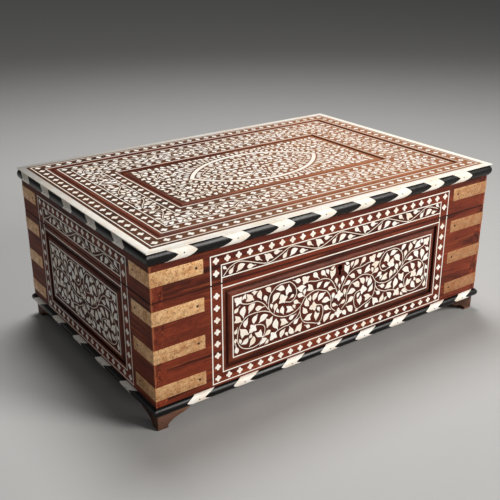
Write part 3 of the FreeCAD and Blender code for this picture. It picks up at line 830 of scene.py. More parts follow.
def flower_ring(petal: tuple[Point, ...], count: int) -> list[Point]:
    """Sets a number of petals round a middle."""
    turns = [2.0 * math.pi * n / count for n in range(count)]
    return [(r * math.cos(a + t), r * math.sin(a + t)) for t in turns for r, a in petal]


def both_halves(half: tuple[Point, ...]) -> list[Point]:
    """Closes half an outline at the tip with its mirror image."""
    return [*half, (1.0, 0.0), *((x, -y) for x, y in reversed(half))]


class LeafKind(Enum):
    """A bone shape of the inlay; the number is its place in the set that the nodes pick from.

    A comma or an ivy leaf swells to one side of the line from its foot to its tip, which names it.
    """

    COMMA_LEFT = 0
    COMMA_RIGHT = 1
    IVY_LEFT = 2
    IVY_RIGHT = 3
    TREFOIL = 4
    BUD = 5
    ROSETTE = 6
    PETAL = 7
    STAR_FLOWER = 8

    def mirrored(self) -> "LeafKind":
        """The same shape seen in a mirror."""
        swaps = {0: 1, 1: 0, 2: 3, 3: 2}
        return LeafKind(swaps.get(self.value, self.value))

    def outline(self) -> list[Point]:
        """The shape's outline.

        Returns:
            The points in order round the shape.
        """
        match self:
            case LeafKind.COMMA_LEFT:
                return list(COMMA)
            case LeafKind.IVY_LEFT:
                return list(IVY)
            case LeafKind.COMMA_RIGHT | LeafKind.IVY_RIGHT:
                return [(x, -y) for x, y in reversed(self.mirrored().outline())]
            case LeafKind.ROSETTE:
                return flower_ring(ROSETTE_PETAL, 5)
            case LeafKind.STAR_FLOWER:
                return flower_ring(STAR_PETAL, 4)
        halves = {LeafKind.TREFOIL: HALF_TREFOIL, LeafKind.BUD: HALF_BUD, LeafKind.PETAL: HALF_PETAL}
        return both_halves(halves[self])

    def body(self) -> np.ndarray:
        """Finds points that cover the shape, for finding room for it.

        Returns:
            The points of a grid that lie inside, and the outline.
        """
        ring = np.array(self.outline())
        steps = np.arange(-0.6, 1.05, 0.06)
        grid = np.array([(x, y) for x in steps for y in steps])
        inside = np.zeros(len(grid), bool)
        for (x0, y0), (x1, y1) in zip(ring, np.roll(ring, -1, axis=0)):
            crosses = (y0 > grid[:, 1]) != (y1 > grid[:, 1])
            edge = (x1 - x0) * (grid[:, 1] - y0) / ((y1 - y0) or 1e-9) + x0
            inside ^= crosses & (grid[:, 0] < edge)
        return np.vstack((grid[inside], ring))


class Mirror(Enum):
    """The middle line that a drawing is mirrored across, as the signs that X and Y get."""

    UPRIGHT = (-1.0, 1.0)
    LEVEL = (1.0, -1.0)


@dataclass(frozen=True)
class Leaf:
    """One leaf or flower: its foot, its turn, its length, its shape and its tone."""

    x: float
    y: float
    turn: float
    size: float
    kind: LeafKind
    tone: float

    def mirrored(self, line: Mirror) -> "Leaf":
        """The leaf on the other side of a middle line.

        Args:
            line: the middle line.

        Returns:
            The mirrored leaf, as much warmer as this one is paler.
        """
        across, up = line.value
        turn = math.pi - self.turn if line is Mirror.UPRIGHT else -self.turn
        return Leaf(self.x * across, self.y * up, turn, self.size, self.kind.mirrored(), -self.tone)


class Bed:
    """The ground of one field in small cells, and which of them bone already takes."""

    cell: float = 0.25

    def __init__(self, low: Point, high: Point) -> None:
        """Lays out the empty ground.

        Args:
            low: the lower left corner.
            high: the upper right corner.
        """
        self.low, self.high = np.array(low), np.array(high)
        across, up = (np.ceil((self.high - self.low) / self.cell)).astype(int) + 1
        self.taken = np.zeros((across, up), bool)

    def spots(self, points: np.ndarray) -> np.ndarray:
        """The cells that points lie in."""
        return ((points - self.low) / self.cell).astype(int)

    def is_free(self, points: np.ndarray) -> bool:
        """Whether all of these points are on free ground.

        Args:
            points: the points to test.

        Returns:
            True if they are.
        """
        if (points < self.low).any() or (points > self.high).any():
            return False
        spots = self.spots(points)
        return not self.taken[spots[:, 0], spots[:, 1]].any()

    def take(self, points: np.ndarray, gap: float) -> None:
        """Marks the ground round these points as taken.

        Args:
            points: points that cover the piece of bone.
            gap: the ground to keep free round it.
        """
        spots = self.spots(points)
        reach = int(round(gap / self.cell))
        for i in range(-reach, reach + 1):
            for j in range(-reach, reach + 1):
                if i * i + j * j <= reach * reach + 1:
                    near = spots + (i, j)
                    keep = (near >= 0).all(axis=1) & (near < self.taken.shape).all(axis=1)
                    self.taken[near[keep, 0], near[keep, 1]] = True


def smooth_line(points: list[Point], step: float = 0.8) -> np.ndarray:
    """Draws a smooth line through points.

    Args:
        points: the points that it goes through.
        step: about how far apart its own points lie.

    Returns:
        The line's points.
    """
    ends = [points[0], *points, points[-1]]
    line: list[np.ndarray] = []
    for four in zip(ends, ends[1:], ends[2:], ends[3:]):
        a, b, c, d = (np.array(point, float) for point in four)
        count = max(2, int(np.linalg.norm(c - b) / step))
        for n in range(count):
            t = n / count
            bend = (2 * a - 5 * b + 4 * c - d) * t * t + (3 * b - a - 3 * c + d) * t * t * t
            line.append(0.5 * (2 * b + (c - a) * t + bend))
    line.append(np.array(points[-1], float))
    return np.array(line)


LeafRows = dict[LeafKind, tuple[tuple[float, float, float, float], ...]]
StemRows = tuple[tuple[Point, ...], ...]
FlowerRows = tuple[tuple[float, LeafKind, float, float], ...]

# The drawing of a long panel's left half: the stems' points, and each leaf's foot and tip
END_STEMS: StemRows = (
    ((-80, 2.2), (-83.5, 4.2), (-87.7, 5.7), (-91.8, 6.3), (-96, 6.7), (-100.2, 6.6), (-104.3, 6.1),
     (-107.7, 4.4), (-110.2, 1.7), (-112.9, -2), (-114.3, -5.8), (-115.2, -9.9), (-115.4, -14.1),
     (-114.3, -18.3), (-111.8, -22.4), (-108.5, -24.7), (-104.3, -26.2), (-100.2, -26.8), (-96, -26.4),
     (-92.2, -25.1), (-89.5, -22.1), (-87.2, -18.1), (-86, -14.1), (-86.2, -10.6), (-88, -7.9), (-91.8, -6.2),
     (-95.5, -5.5)),
    ((-82.5, 5.9), (-83.5, 7.6), (-85.6, 10.5), (-88.1, 13.4), (-91, 15.5), (-94.3, 17.2), (-97.7, 17.5),
     (-101, 17.2), (-105.2, 17.7), (-108.5, 18.8), (-112, 20.5)),
    ((-46.3, -2), (-50.5, -4.9), (-54.7, -6.4), (-58.8, -7.1), (-62.7, -6.9), (-66.8, -6.2), (-71, -4.5),
     (-74.8, -2.4), (-77.7, 0.1), (-80.2, 3), (-81.8, 6.3), (-82.2, 10.1), (-81.8, 14.2), (-80.8, 18),
     (-78.9, 20.9), (-76.4, 23.4), (-73.5, 25.3), (-69.8, 26.4), (-65.6, 26.5), (-61.8, 26.3), (-58.8, 25.9),
     (-56.3, 24.2), (-53.8, 21.5), (-52, 18.8), (-51.1, 15.1), (-50.9, 12.6), (-51.8, 10.5), (-53, 8.4),
     (-54.2, 7.2), (-57.6, 5.9), (-60.9, 6.7), (-63.9, 7.6)),
    ((-46.5, -6.1), (-47.2, -7.8), (-49.2, -10.8), (-52.2, -13.3), (-56.3, -15.3), (-60.5, -17),
     (-62.7, -16.8), (-66.8, -17.4), (-71, -18.5), (-73.5, -19.3)),
)
END_LEAVES: LeafRows = {
    LeafKind.COMMA_LEFT: (
        (-89.9, 17.5, -91, 27.2), (-109, 5.3, -107.3, 16.5), (-103.6, 8.1, -96.5, 15.9),
        (-92.8, -4.6, -82.5, 0.4), (-71.7, -17.7, -73.5, -5.9), (-92, -27.1, -83.3, -22.8),
        (-65.3, -4.5, -66.4, 4.5), (-78.2, 10.7, -69.2, 18.1), (-74, 22.9, -64.5, 19.9)),
    LeafKind.COMMA_RIGHT: (
        (-79.2, 21.1, -85.5, 26.9), (-104.2, 4, -106.8, -4.7), (-93.8, 4.9, -98, -3.7),
        (-111.6, -20.1, -103.9, -15.3), (-102.9, -24.9, -98, -15.7), (-63, -18.8, -68, -27.1),
        (-58.3, -18.5, -53, -27.1)),
    LeafKind.IVY_LEFT: (
        (-97.6, 19.5, -105.5, 27.2), (-110.6, 2.2, -117.6, 9.9), (-83.6, -12.3, -77.3, -2.3),
        (-60, -14.3, -69, -7.9), (-59.9, 23.9, -62.5, 12.9), (-54, -3.5, -62.2, 2.9)),
    LeafKind.IVY_RIGHT: (
        (-112.6, -4.3, -103, -12.5), (-88.5, -19.7, -97, -13.1)),
    LeafKind.TREFOIL: (
        (-110.6, 20.5, -118, 26.5), (-95.6, -5.1, -103, -11.5), (-73.4, -19.4, -80.3, -26.3),
        (-64.4, 6.9, -68.8, 16.5)),
    LeafKind.BUD: (
        (-83.7, 11.9, -86.3, 20.5), (-112.4, 18.1, -118.2, 12.7), (-86.2, 9.9, -96.4, 10.1),
        (-88.2, -20.1, -79.6, -15.6), (-76, -0.1, -73.5, 9.2), (-59.5, 9.4, -53.8, 12.3),
        (-50.7, -8.1, -59.2, -11.1), (-117.2, -18.1, -115.7, -27.3), (-114.9, -1.5, -118, -7.9),
        (-118.2, -18.5, -117, -12.3)),
}
MIDDLE_STEMS: StemRows = (
    ((-46.3, -2), (-44.2, 0.9), (-41.8, 4.7), (-38, 6.9), (-34.7, 8.2), (-30.5, 9.2), (-26.8, 9), (-23.4, 8),
     (-19.2, 6.3), (-15.9, 5.1), (-13.8, 3), (-11.8, 0.1), (-10.3, -3.3), (-9.5, -7), (-9.9, -9.9),
     (-9.2, -14.1), (-6.8, -17), (-3.8, -19.5)),
    ((-46.3, -2), (-46.5, -5.8), (-46.3, -9.1), (-45.7, -12.4), (-44.2, -16.2), (-41.8, -19.1),
     (-38.4, -21.2), (-33.8, -22.6), (-29.7, -24.1), (-26.3, -25.4), (-23, -24.8), (-20.6, -21.6),
     (-19.2, -16.1), (-19.3, -11.6), (-20.8, -8.3), (-23.5, -6.9), (-26.5, -6.4)),
    ((-2.6, 0.1), (-3.8, 3.4), (-5.5, 6.7), (-7.6, 10.5), (-10.1, 13.8), (-13.4, 16.3), (-17.2, 17.8),
     (-21.3, 18.4), (-25.5, 18.2), (-29.7, 18.6), (-33.8, 19.7), (-37.2, 20.3)),
)
MIDDLE_LEAVES: LeafRows = {
    LeafKind.COMMA_RIGHT: (
        (-39.5, 4.9, -36.2, -4.7), (-43.2, -3.9, -37.2, -10.9), (-25.2, 6.9, -31, -1.1),
        (-21, 16.2, -26.8, 10.5), (-11.6, 13.1, -19, 8.7), (-16.6, 3.9, -25.2, -2.7),
        (-10.2, -6.1, -21, -5.1), (-9.9, -18.5, -17.3, -27.2), (-3.2, -21.8, -9.6, -27.5)),
    LeafKind.IVY_LEFT: (
        (-31.2, 10.1, -37.8, 17.9), (-43.8, -19.3, -52.6, -26.7), (-10, 15.5, -5.4, 25.6)),
    LeafKind.IVY_RIGHT: (
        (-50.8, 17.5, -40, 16.3), (-42, -17.3, -32, -13.2), (-27.2, -22.1, -28.4, -12.3)),
    LeafKind.TREFOIL: (
        (-37.8, 19.7, -44.5, 26.8), (-26.3, -6, -36, -7.6)),
    LeafKind.BUD: (
        (-55.6, 26.4, -46.3, 23.4), (-41, 6.6, -49.7, 10.7), (-46.2, 1.1, -54, 5.5),
        (-41, -22.7, -34.3, -26.9), (-46.5, -12.5, -53.5, -17.8), (-24.8, 19.7, -31.8, 27.2),
        (-15.7, 19.4, -22.6, 26.9), (-5, 4.1, -14, 6.9), (-2.8, 6.5, -4.4, 14.9), (-7.5, -7.6, -7, 0.7),
        (-9, -16.4, -18.2, -10.7), (-0.6, -14.5, -8.2, -11.3), (-27.5, -25.1, -21.5, -27.1)),
}


@dataclass
class InlayField:
    """A drawing of stems, leaves and flowers that fills one field of the ground."""

    low: Point
    high: Point
    seed: int
    stem_wide: float = 0.9
    stem_gap: float = 0.3
    stem_step: float = 0.2
    leaf_gap: float = 0.75
    leaf_tones: Point = (-0.25, 0.3)
    flower_tone: float = -0.1
    pitch: float = 8.2
    retry: float = 1.2
    bare_tip: float = 1.5
    first_sprouts: tuple[tuple[int, float], ...] = ((1, 0.45), (-1, 0.9))
    sprout_foot: float = 0.55
    sprout_sizes: tuple[float, ...] = (9.6, 8.8, 8.0, 7.2, 6.4)
    sprout_leans: tuple[float, ...] = (52.0, 38.0, 68.0, 84.0)
    sprout_sway: float = 5.0
    fill_sizes: tuple[float, ...] = (8.8, 7.8, 6.8, 5.8)
    fill_leans: tuple[float, ...] = (45.0, -45.0, 80.0, -80.0, 0.0)
    fill_sway: float = 8.0
    fill_edge: float = 1.0
    fill_spacing: float = 1.6
    oval_steps: int = 41
    stems: list[np.ndarray] = field(default_factory=list)
    leaves: list[Leaf] = field(default_factory=list)

    def __post_init__(self) -> None:
        """Lays out the ground and starts the field's own run of chance."""
        self.bed = Bed(self.low, self.high)
        self.chance = random.Random(self.seed)
        self.bodies = {kind: kind.body() for kind in LeafKind}

    def covered(self, leaf: Leaf) -> np.ndarray:
        """Points that a leaf covers."""
        c, s = math.cos(leaf.turn) * leaf.size, math.sin(leaf.turn) * leaf.size
        return self.bodies[leaf.kind] @ np.array(((c, s), (-s, c))) + (leaf.x, leaf.y)

    def keep_clear(self, middle: Point, half: Point) -> None:
        """Keeps an oval of ground free of bone.

        Args:
            middle: the oval's middle.
            half: its half width and half height.
        """
        steps = np.linspace(-1.0, 1.0, self.oval_steps)
        spots = np.array([(x, y) for x in steps for y in steps if x * x + y * y <= 1.0])
        self.bed.take(spots * half + middle, self.bed.cell)

    def keep_out(self, low: Point, high: Point) -> None:
        """Keeps a rectangle of ground free of bone.

        Args:
            low: its lower left corner.
            high: its upper right corner.
        """
        xs = np.arange(low[0], high[0], self.bed.cell)
        ys = np.arange(low[1], high[1], self.bed.cell)
        self.bed.take(np.stack(np.meshgrid(xs, ys), axis=-1).reshape(-1, 2), 0.0)

    def stem(self, *points: Point) -> None:
        """Draws a stem through points and takes its ground."""
        self.stems.append(smooth_line(list(points)))
        self.bed.take(smooth_line(list(points), self.stem_step), self.stem_wide / 2 + self.stem_gap)

    def flower(self, x: float, y: float, kind: LeafKind, size: float, turn: float = 0.0) -> None:
        """Sets a flower at a chosen place, middle on the point.

        Args:
            x: its place across.
            y: its place upwards.
            kind: its shape.
            size: its length.
            turn: the way its tip points, in degrees.
        """
        angle = math.radians(turn)
        back = 0.0 if kind in (LeafKind.ROSETTE, LeafKind.STAR_FLOWER) else size / 2
        foot = (x - back * math.cos(angle), y - back * math.sin(angle))
        self.set_down(Leaf(*foot, angle, size, kind, self.flower_tone))

    def flowers(self, rows: FlowerRows) -> None:
        """Sets flowers up the middle, each by its height, shape, length and turn."""
        for height, kind, size, turn in rows:
            self.flower(0.0, height, kind, size, turn)

    def set_down(self, leaf: Leaf) -> None:
        """Adds a leaf and takes its ground."""
        self.leaves.append(leaf)
        self.bed.take(self.covered(leaf), self.leaf_gap)

    def fit(self, leaf: Leaf) -> bool:
        """Sets a leaf down if its ground is free.

        Args:
            leaf: the leaf.

        Returns:
            True if it found room.
        """
        if not self.bed.is_free(self.covered(leaf)):
            return False
        self.set_down(leaf)
        return True

    def grow(self, rows: LeafRows, shift: float = 0.0) -> None:
        """Sets leaves at chosen places.

        Args:
            rows: for each shape, where each leaf's foot and tip lie.
            shift: how far to the right they are moved.
        """
        for kind, places in rows.items():
            for x0, y0, x1, y1 in places:
                turn, size = math.atan2(y1 - y0, x1 - x0), math.hypot(x1 - x0, y1 - y0)
                self.set_down(Leaf(x0 + shift, y0, turn, size, kind, self.tone()))

    def tone(self) -> float:
        """A leaf's own tone, paler or warmer."""
        return self.chance.uniform(*self.leaf_tones)

    def swayed(self, lean: float, sway: float) -> float:
        """A lean in radians, swayed a little by chance."""
        return math.radians(lean + self.chance.uniform(-sway, sway))

    def sprout(self) -> None:
        """Sets leaves along both sides of every stem, as large as their room allows."""
        for line in self.stems:
            steps = np.linalg.norm(np.diff(line, axis=0), axis=1)
            run = np.concatenate(((0.0,), np.cumsum(steps)))
            for side, first in self.first_sprouts:
                at = self.pitch * first
                while at < run[-1] - self.bare_tip:
                    n = min(int(np.searchsorted(run, at)), len(line) - 2)
                    ahead = line[n + 1] - line[max(n - 1, 0)]
                    grown = self.sprout_at(line[n], math.atan2(ahead[1], ahead[0]), side)
                    at += self.pitch if grown else self.retry

    def sprout_at(self, spot: np.ndarray, flow: float, side: int) -> bool:
        """Tries to set one leaf at a stem.

        Args:
            spot: where on the stem.
            flow: the way the stem runs there.
            side: 1 for its left and -1 for its right.

        Returns:
            True if a leaf found room.
        """
        out = np.array((-math.sin(flow), math.cos(flow))) * side * (self.stem_wide / 2 + self.sprout_foot)
        kind = self.chance.choice([LeafKind.COMMA_RIGHT, LeafKind.IVY_RIGHT, LeafKind.COMMA_RIGHT])
        kind = kind if side > 0 else kind.mirrored()
        for size in self.sprout_sizes:
            for lean in self.sprout_leans:
                angle = flow + side * self.swayed(lean, self.sprout_sway)
                if self.fit(Leaf(*(spot + out), angle, size, kind, self.tone())):
                    return True
        return False

    def fill(self) -> None:
        """Sets leaves in the gaps that are left, the large gaps first."""
        xs = np.arange(self.low[0] + self.fill_edge, self.high[0], self.fill_spacing)
        ys = np.arange(self.low[1] + self.fill_edge, self.high[1], self.fill_spacing)
        spots = [(x, y) for x in xs for y in ys]
        self.chance.shuffle(spots)
        path = np.vstack(self.stems)
        ahead = np.vstack([np.gradient(line, axis=0) for line in self.stems])
        for size in self.fill_sizes:
            for x, y in spots:
                if self.bed.is_free(np.array(((x, y),))):
                    near = int(np.argmin(((path - (x, y)) ** 2).sum(axis=1)))
                    self.fill_at(x, y, size, math.atan2(ahead[near][1], ahead[near][0]))

    def fill_at(self, x: float, y: float, size: float, flow: float) -> None:
        """Tries to set one leaf in a gap.

        Args:
            x: the gap's middle across.
            y: the gap's middle upwards.
            size: the leaf's length.
            flow: the way the nearest stem runs.
        """
        kinds = [LeafKind.COMMA_LEFT, LeafKind.COMMA_RIGHT, LeafKind.IVY_LEFT, LeafKind.IVY_RIGHT]
        kind = self.chance.choice(kinds)
        for lean in self.fill_leans:
            angle = flow + self.swayed(lean, self.fill_sway)
            foot = (x - 0.5 * size * math.cos(angle), y - 0.5 * size * math.sin(angle))
            if self.fit(Leaf(*foot, angle, size, kind, self.tone())):
                return

    def mirror(self, line: Mirror) -> None:
        """Adds the mirrored half across a middle line."""
        self.leaves += [leaf.mirrored(line) for leaf in self.leaves]
        self.stems += [stem * line.value for stem in self.stems]

    def open_out(self) -> None:
        """Opens a quarter's ground out to the whole of its mirrored drawing."""
        quarter = self.bed.taken
        across, up = quarter.shape
        self.high = (-self.low[0], -self.low[1])
        self.bed = Bed(self.low, self.high)
        self.bed.taken[:across, :up] = quarter
        self.bed.taken[-across:, :up] |= quarter[::-1]
        self.bed.taken[:, -up:] |= self.bed.taken[:, :up][:, ::-1]

    def complete(self, middle: FlowerRows = ()) -> None:
        """Fills a quarter with leaves, mirrors it both ways and fills what is left.

        Args:
            middle: the flowers in the very middle.
        """
        self.sprout()
        self.fill()
        self.mirror(Mirror.UPRIGHT)
        self.mirror(Mirror.LEVEL)
        self.flowers(middle)
        self.open_out()
        self.fill()


@dataclass
class InlayCutter:
    """Turns a drawing into bone: stems swept along their lines and leaves set on points."""

    bone: Bone = Bone("inlay_bone")
    proud: float = 0.1
    shoulder: float = 0.4
    thick: float = 0.45
    stem_share: float = 0.84
    stem_tone: float = 0.35
    chamfer: float = 0.05

    def __post_init__(self) -> None:
        """Cuts the set of leaf shapes and builds the node tree."""
        self.shapes = bpy.data.collections.new("leaf_shapes")
        for kind in LeafKind:
            self.shapes.objects.link(self.cut_shape(kind))
        self.tree = self.build_tree()

    def cut_shape(self, kind: LeafKind) -> bpy.types.Object:
        """Cuts one leaf shape, a millimetre long, with its upper edge eased.

        Args:
            kind: the shape.

        Returns:
            The shape's object, outside the scene.
        """
        ring = np.array(kind.outline())
        middle = ring.mean(axis=0)
        inner = middle + (ring - middle) * (1.0 - 2.0 * self.chamfer)
        layers = ((inner, self.proud), (ring, self.proud * self.shoulder), (ring, self.proud - self.thick))
        shape = bmesh.new()
        rows = [[shape.verts.new(metres((x, y, z))) for x, y in points] for points, z in layers]
        shape.faces.new(rows[0])
        shape.faces.new(list(reversed(rows[2])))
        for upper, lower in zip(rows, rows[1:]):
            for n in range(len(upper)):
                m = (n + 1) % len(upper)
                shape.faces.new((upper[n], lower[n], lower[m], upper[m]))
        bmesh.ops.recalc_face_normals(shape, faces=shape.faces)
        mesh = bpy.data.meshes.new(f"leaf_{kind.value:02d}")
        shape.to_mesh(mesh)
        shape.free()
        return bpy.data.objects.new(mesh.name, mesh)

    def build_tree(self) -> bpy.types.NodeTree:
        """Builds the Geometry Nodes tree that all drawings share.

        Returns:
            The tree.
        """
        tree = bpy.data.node_groups.new("bone_inlay", "GeometryNodeTree")
        takes = {"Geometry": "Geometry", "Leaf Shapes": "Collection", "Stem Width": "Float",
                 "Thickness": "Float", "Sink": "Vector", "Place": "Vector", "Turn": "Vector",
                 "Bone": "Material"}
        for label, kind in takes.items():
            tree.interface.new_socket(label, in_out="INPUT", socket_type="NodeSocket" + kind)
        tree.interface.new_socket("Geometry", in_out="OUTPUT", socket_type="NodeSocketGeometry")
        graph = Graph(tree)
        source = graph.node("NodeGroupInput").outputs
        stems, leaves = self.stem_nodes(graph, source), self.leaf_nodes(graph, source)
        joined = graph.node("GeometryNodeJoinGeometry", {"Geometry": stems})
        graph.feed(joined.inputs, {"Geometry": leaves})
        moves = {"Translation": source["Place"], "Rotation": source["Turn"]}
        laid = graph.get("GeometryNodeTransform", {"Geometry": joined.outputs[0], **moves})
        real = graph.get("GeometryNodeRealizeInstances", {"Geometry": laid})
        dressed = graph.get("GeometryNodeSetMaterial", {"Geometry": real, "Material": source["Bone"]})
        graph.node("NodeGroupOutput", {"Geometry": dressed})
        return tree

    @staticmethod
    def stem_nodes(graph: Graph, source: Any) -> Socket:
        """Sweeps a flat section along the drawing's edges.

        Args:
            graph: the tree.
            source: the tree's inputs by name.

        Returns:
            The stems.
        """
        lines = graph.get("GeometryNodeMeshToCurve", {"Mesh": source["Geometry"]})
        lines = graph.get("GeometryNodeSetCurveNormal", {"Curve": lines}, mode="Z_UP")
        sizes = {"Width": source["Stem Width"], "Height": source["Thickness"]}
        section = graph.get("GeometryNodeCurvePrimitiveQuadrilateral", sizes)
        sweep = {"Curve": lines, "Profile Curve": section, "Fill Caps": True}
        swept = graph.get("GeometryNodeCurveToMesh", sweep)
        return graph.get("GeometryNodeTransform", {"Geometry": swept, "Translation": source["Sink"]})

    @staticmethod
    def leaf_nodes(graph: Graph, source: Any) -> Socket:
        """Sets a leaf shape on each of the drawing's points that names one.

        Args:
            graph: the tree.
            source: the tree's inputs by name.

        Returns:
            The leaves.
        """
        def kept(name: str, kind: str) -> Socket:
            """Reads a number kept on each leaf's point."""
            return graph.get("GeometryNodeInputNamedAttribute", {"Name": name}, data_type=kind)

        kind, size = kept("kind", "INT"), kept("size", "FLOAT")
        is_leaf = graph.get("FunctionNodeCompare", {2: kind}, data_type="INT", operation="GREATER_EQUAL")
        scale = graph.get("ShaderNodeCombineXYZ", {0: size, 1: size, 2: 1.0})
        turn = graph.get("ShaderNodeCombineXYZ", {2: kept("turn", "FLOAT")})
        turn = graph.get("FunctionNodeEulerToRotation", {0: turn})
        shapes = {"Collection": source["Leaf Shapes"], "Separate Children": True, "Reset Children": True}
        return graph.get("GeometryNodeInstanceOnPoints", {
            "Points": source["Geometry"], "Selection": is_leaf, "Pick Instance": True, "Instance Index": kind,
            "Instance": graph.get("GeometryNodeCollectionInfo", shapes), "Rotation": turn, "Scale": scale})

    def drawing(self, drawn: InlayField, name: str) -> bpy.types.Object:
        """Lays a drawing out as edges for the stems and points for the leaves.

        Args:
            drawn: the drawing.
            name: the piece's name.

        Returns:
            The object that the tree works on.
        """
        verts: list[Triple] = []
        edges: list[tuple[int, int]] = []
        for line in drawn.stems:
            first = len(verts)
            verts += [(x * MM, y * MM, 0.0) for x, y in line]
            edges += [(n, n + 1) for n in range(first, len(verts) - 1)]
        stem_points = len(verts)
        verts += [(leaf.x * MM, leaf.y * MM, 0.0) for leaf in drawn.leaves]
        mesh = bpy.data.meshes.new(name)
        mesh.from_pydata(verts, edges, [])
        columns = {
            "kind": ("INT", -1, [leaf.kind.value for leaf in drawn.leaves]),
            "turn": ("FLOAT", 0.0, [leaf.turn for leaf in drawn.leaves]),
            "size": ("FLOAT", 1.0, [leaf.size for leaf in drawn.leaves]),
            "tone": ("FLOAT", self.stem_tone, [leaf.tone for leaf in drawn.leaves]),
        }
        for label, (kind, on_stems, on_leaves) in columns.items():
            values = [on_stems] * stem_points + on_leaves
            mesh.attributes.new(label, kind, "POINT").data.foreach_set("value", values)
        piece = bpy.data.objects.new(name, mesh)
        bpy.context.scene.collection.objects.link(piece)
        return piece

    def cut(self, drawn: InlayField, name: str, body: str, place: Vector, turn: Vector) -> None:
        """Cuts a drawing in bone and lays it in a face of the box.

        Args:
            drawn: the drawing.
            name: the piece's name.
            body: the body that carries it.
            place: where the drawing's middle goes, in metres.
            turn: how the drawing is turned.
        """
        piece = self.drawing(drawn, name)
        modifier = piece.modifiers.new("bone_inlay", "NODES")
        modifier.node_group = self.tree
        values = {"Leaf Shapes": self.shapes, "Stem Width": drawn.stem_wide * self.stem_share * MM,
                  "Thickness": self.thick * MM, "Sink": (0.0, 0.0, (self.proud - self.thick / 2) * MM),
                  "Place": tuple(place), "Turn": tuple(turn), "Bone": self.bone.material()}
        for socket in self.tree.interface.items_tree:
            if socket.in_out == "INPUT" and socket.name in values:
                modifier[socket.identifier] = values[socket.name]
        depsgraph = bpy.context.evaluated_depsgraph_get()
        solid = bpy.data.meshes.new_from_object(piece.evaluated_get(depsgraph), preserve_all_data_layers=True,
                                                depsgraph=depsgraph)
        piece.modifiers.clear()
        piece.data = solid
        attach(piece, body)
        counts = (len(drawn.leaves), len(drawn.stems), len(solid.polygons))
        log.info("%s: %d leaves, %d stems, %d faces", name, *counts)

    def put_away(self) -> None:
        """Removes the leaf shapes, which aren't part of the box."""
        for shape in list(self.shapes.objects):
            bpy.data.objects.remove(shape)
        bpy.data.collections.remove(self.shapes)


def dress(finish: Finish, *nodes: str) -> None:
    """Gives pieces of the frame their finish.

    Args:
        finish: their finish.
        nodes: the pieces' names in the frame.
    """
    for node in nodes:
        mesh = frame["nodes"][node].data
        mesh.materials.clear()
        mesh.materials.append(finish.material())
        log.info("%s: %s", node, finish.name)


def ease_edges(shape: bmesh.types.BMesh, width: float) -> None:
    """Joins a mesh's flat faces and eases its edges.

    Args:
        shape: the mesh.
        width: how far its edges are eased.
    """
    bmesh.ops.dissolve_limit(shape, angle_limit=FLAT, verts=shape.verts, edges=shape.edges)
    closed = [edge for edge in shape.edges if len(edge.link_faces) == 2]
    sharp = [edge for edge in closed if edge.calc_face_angle() > CREASE]
    bmesh.ops.bevel(shape, geom=sharp, offset=width * MM, segments=EASE_STEPS, profile=EASE_ROUND,
                    affect="EDGES", clamp_overlap=True)


def soften(node: str, body: str, finish: Finish, width: float = 0.0) -> None:
    """Replaces a piece of the frame by the same piece with its rounds smooth and its edges eased.

    Args:
        node: the piece's name in the frame.
        body: the body that carries it.
        finish: its finish.
        width: how far its edges are eased, or 0 to leave them crisp.
    """
    eased = bmesh.new()
    eased.from_mesh(frame["nodes"][node].data)
    bmesh.ops.remove_doubles(eased, verts=eased.verts, dist=WELD)
    if width > 0.0:
        ease_edges(eased, width)
    mesh = bpy.data.meshes.new(node + "_eased")
    eased.to_mesh(mesh)
    eased.free()
    for label in ("custom_normal", "sharp_edge"):
        if label in mesh.attributes:
            mesh.attributes.remove(mesh.attributes[label])
    mesh.shade_smooth()
    mesh.set_sharp_from_angle(angle=SHARP)
    mesh.materials.clear()
    mesh.materials.append(finish.material())
    piece = bpy.data.objects.new(node + "_eased", mesh)
    bpy.context.scene.collection.objects.link(piece)
    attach(piece, body)
    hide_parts(node)
    log.info("%s: %s, %s", node, finish.name, "edges eased" if width > 0.0 else "rounds smooth")


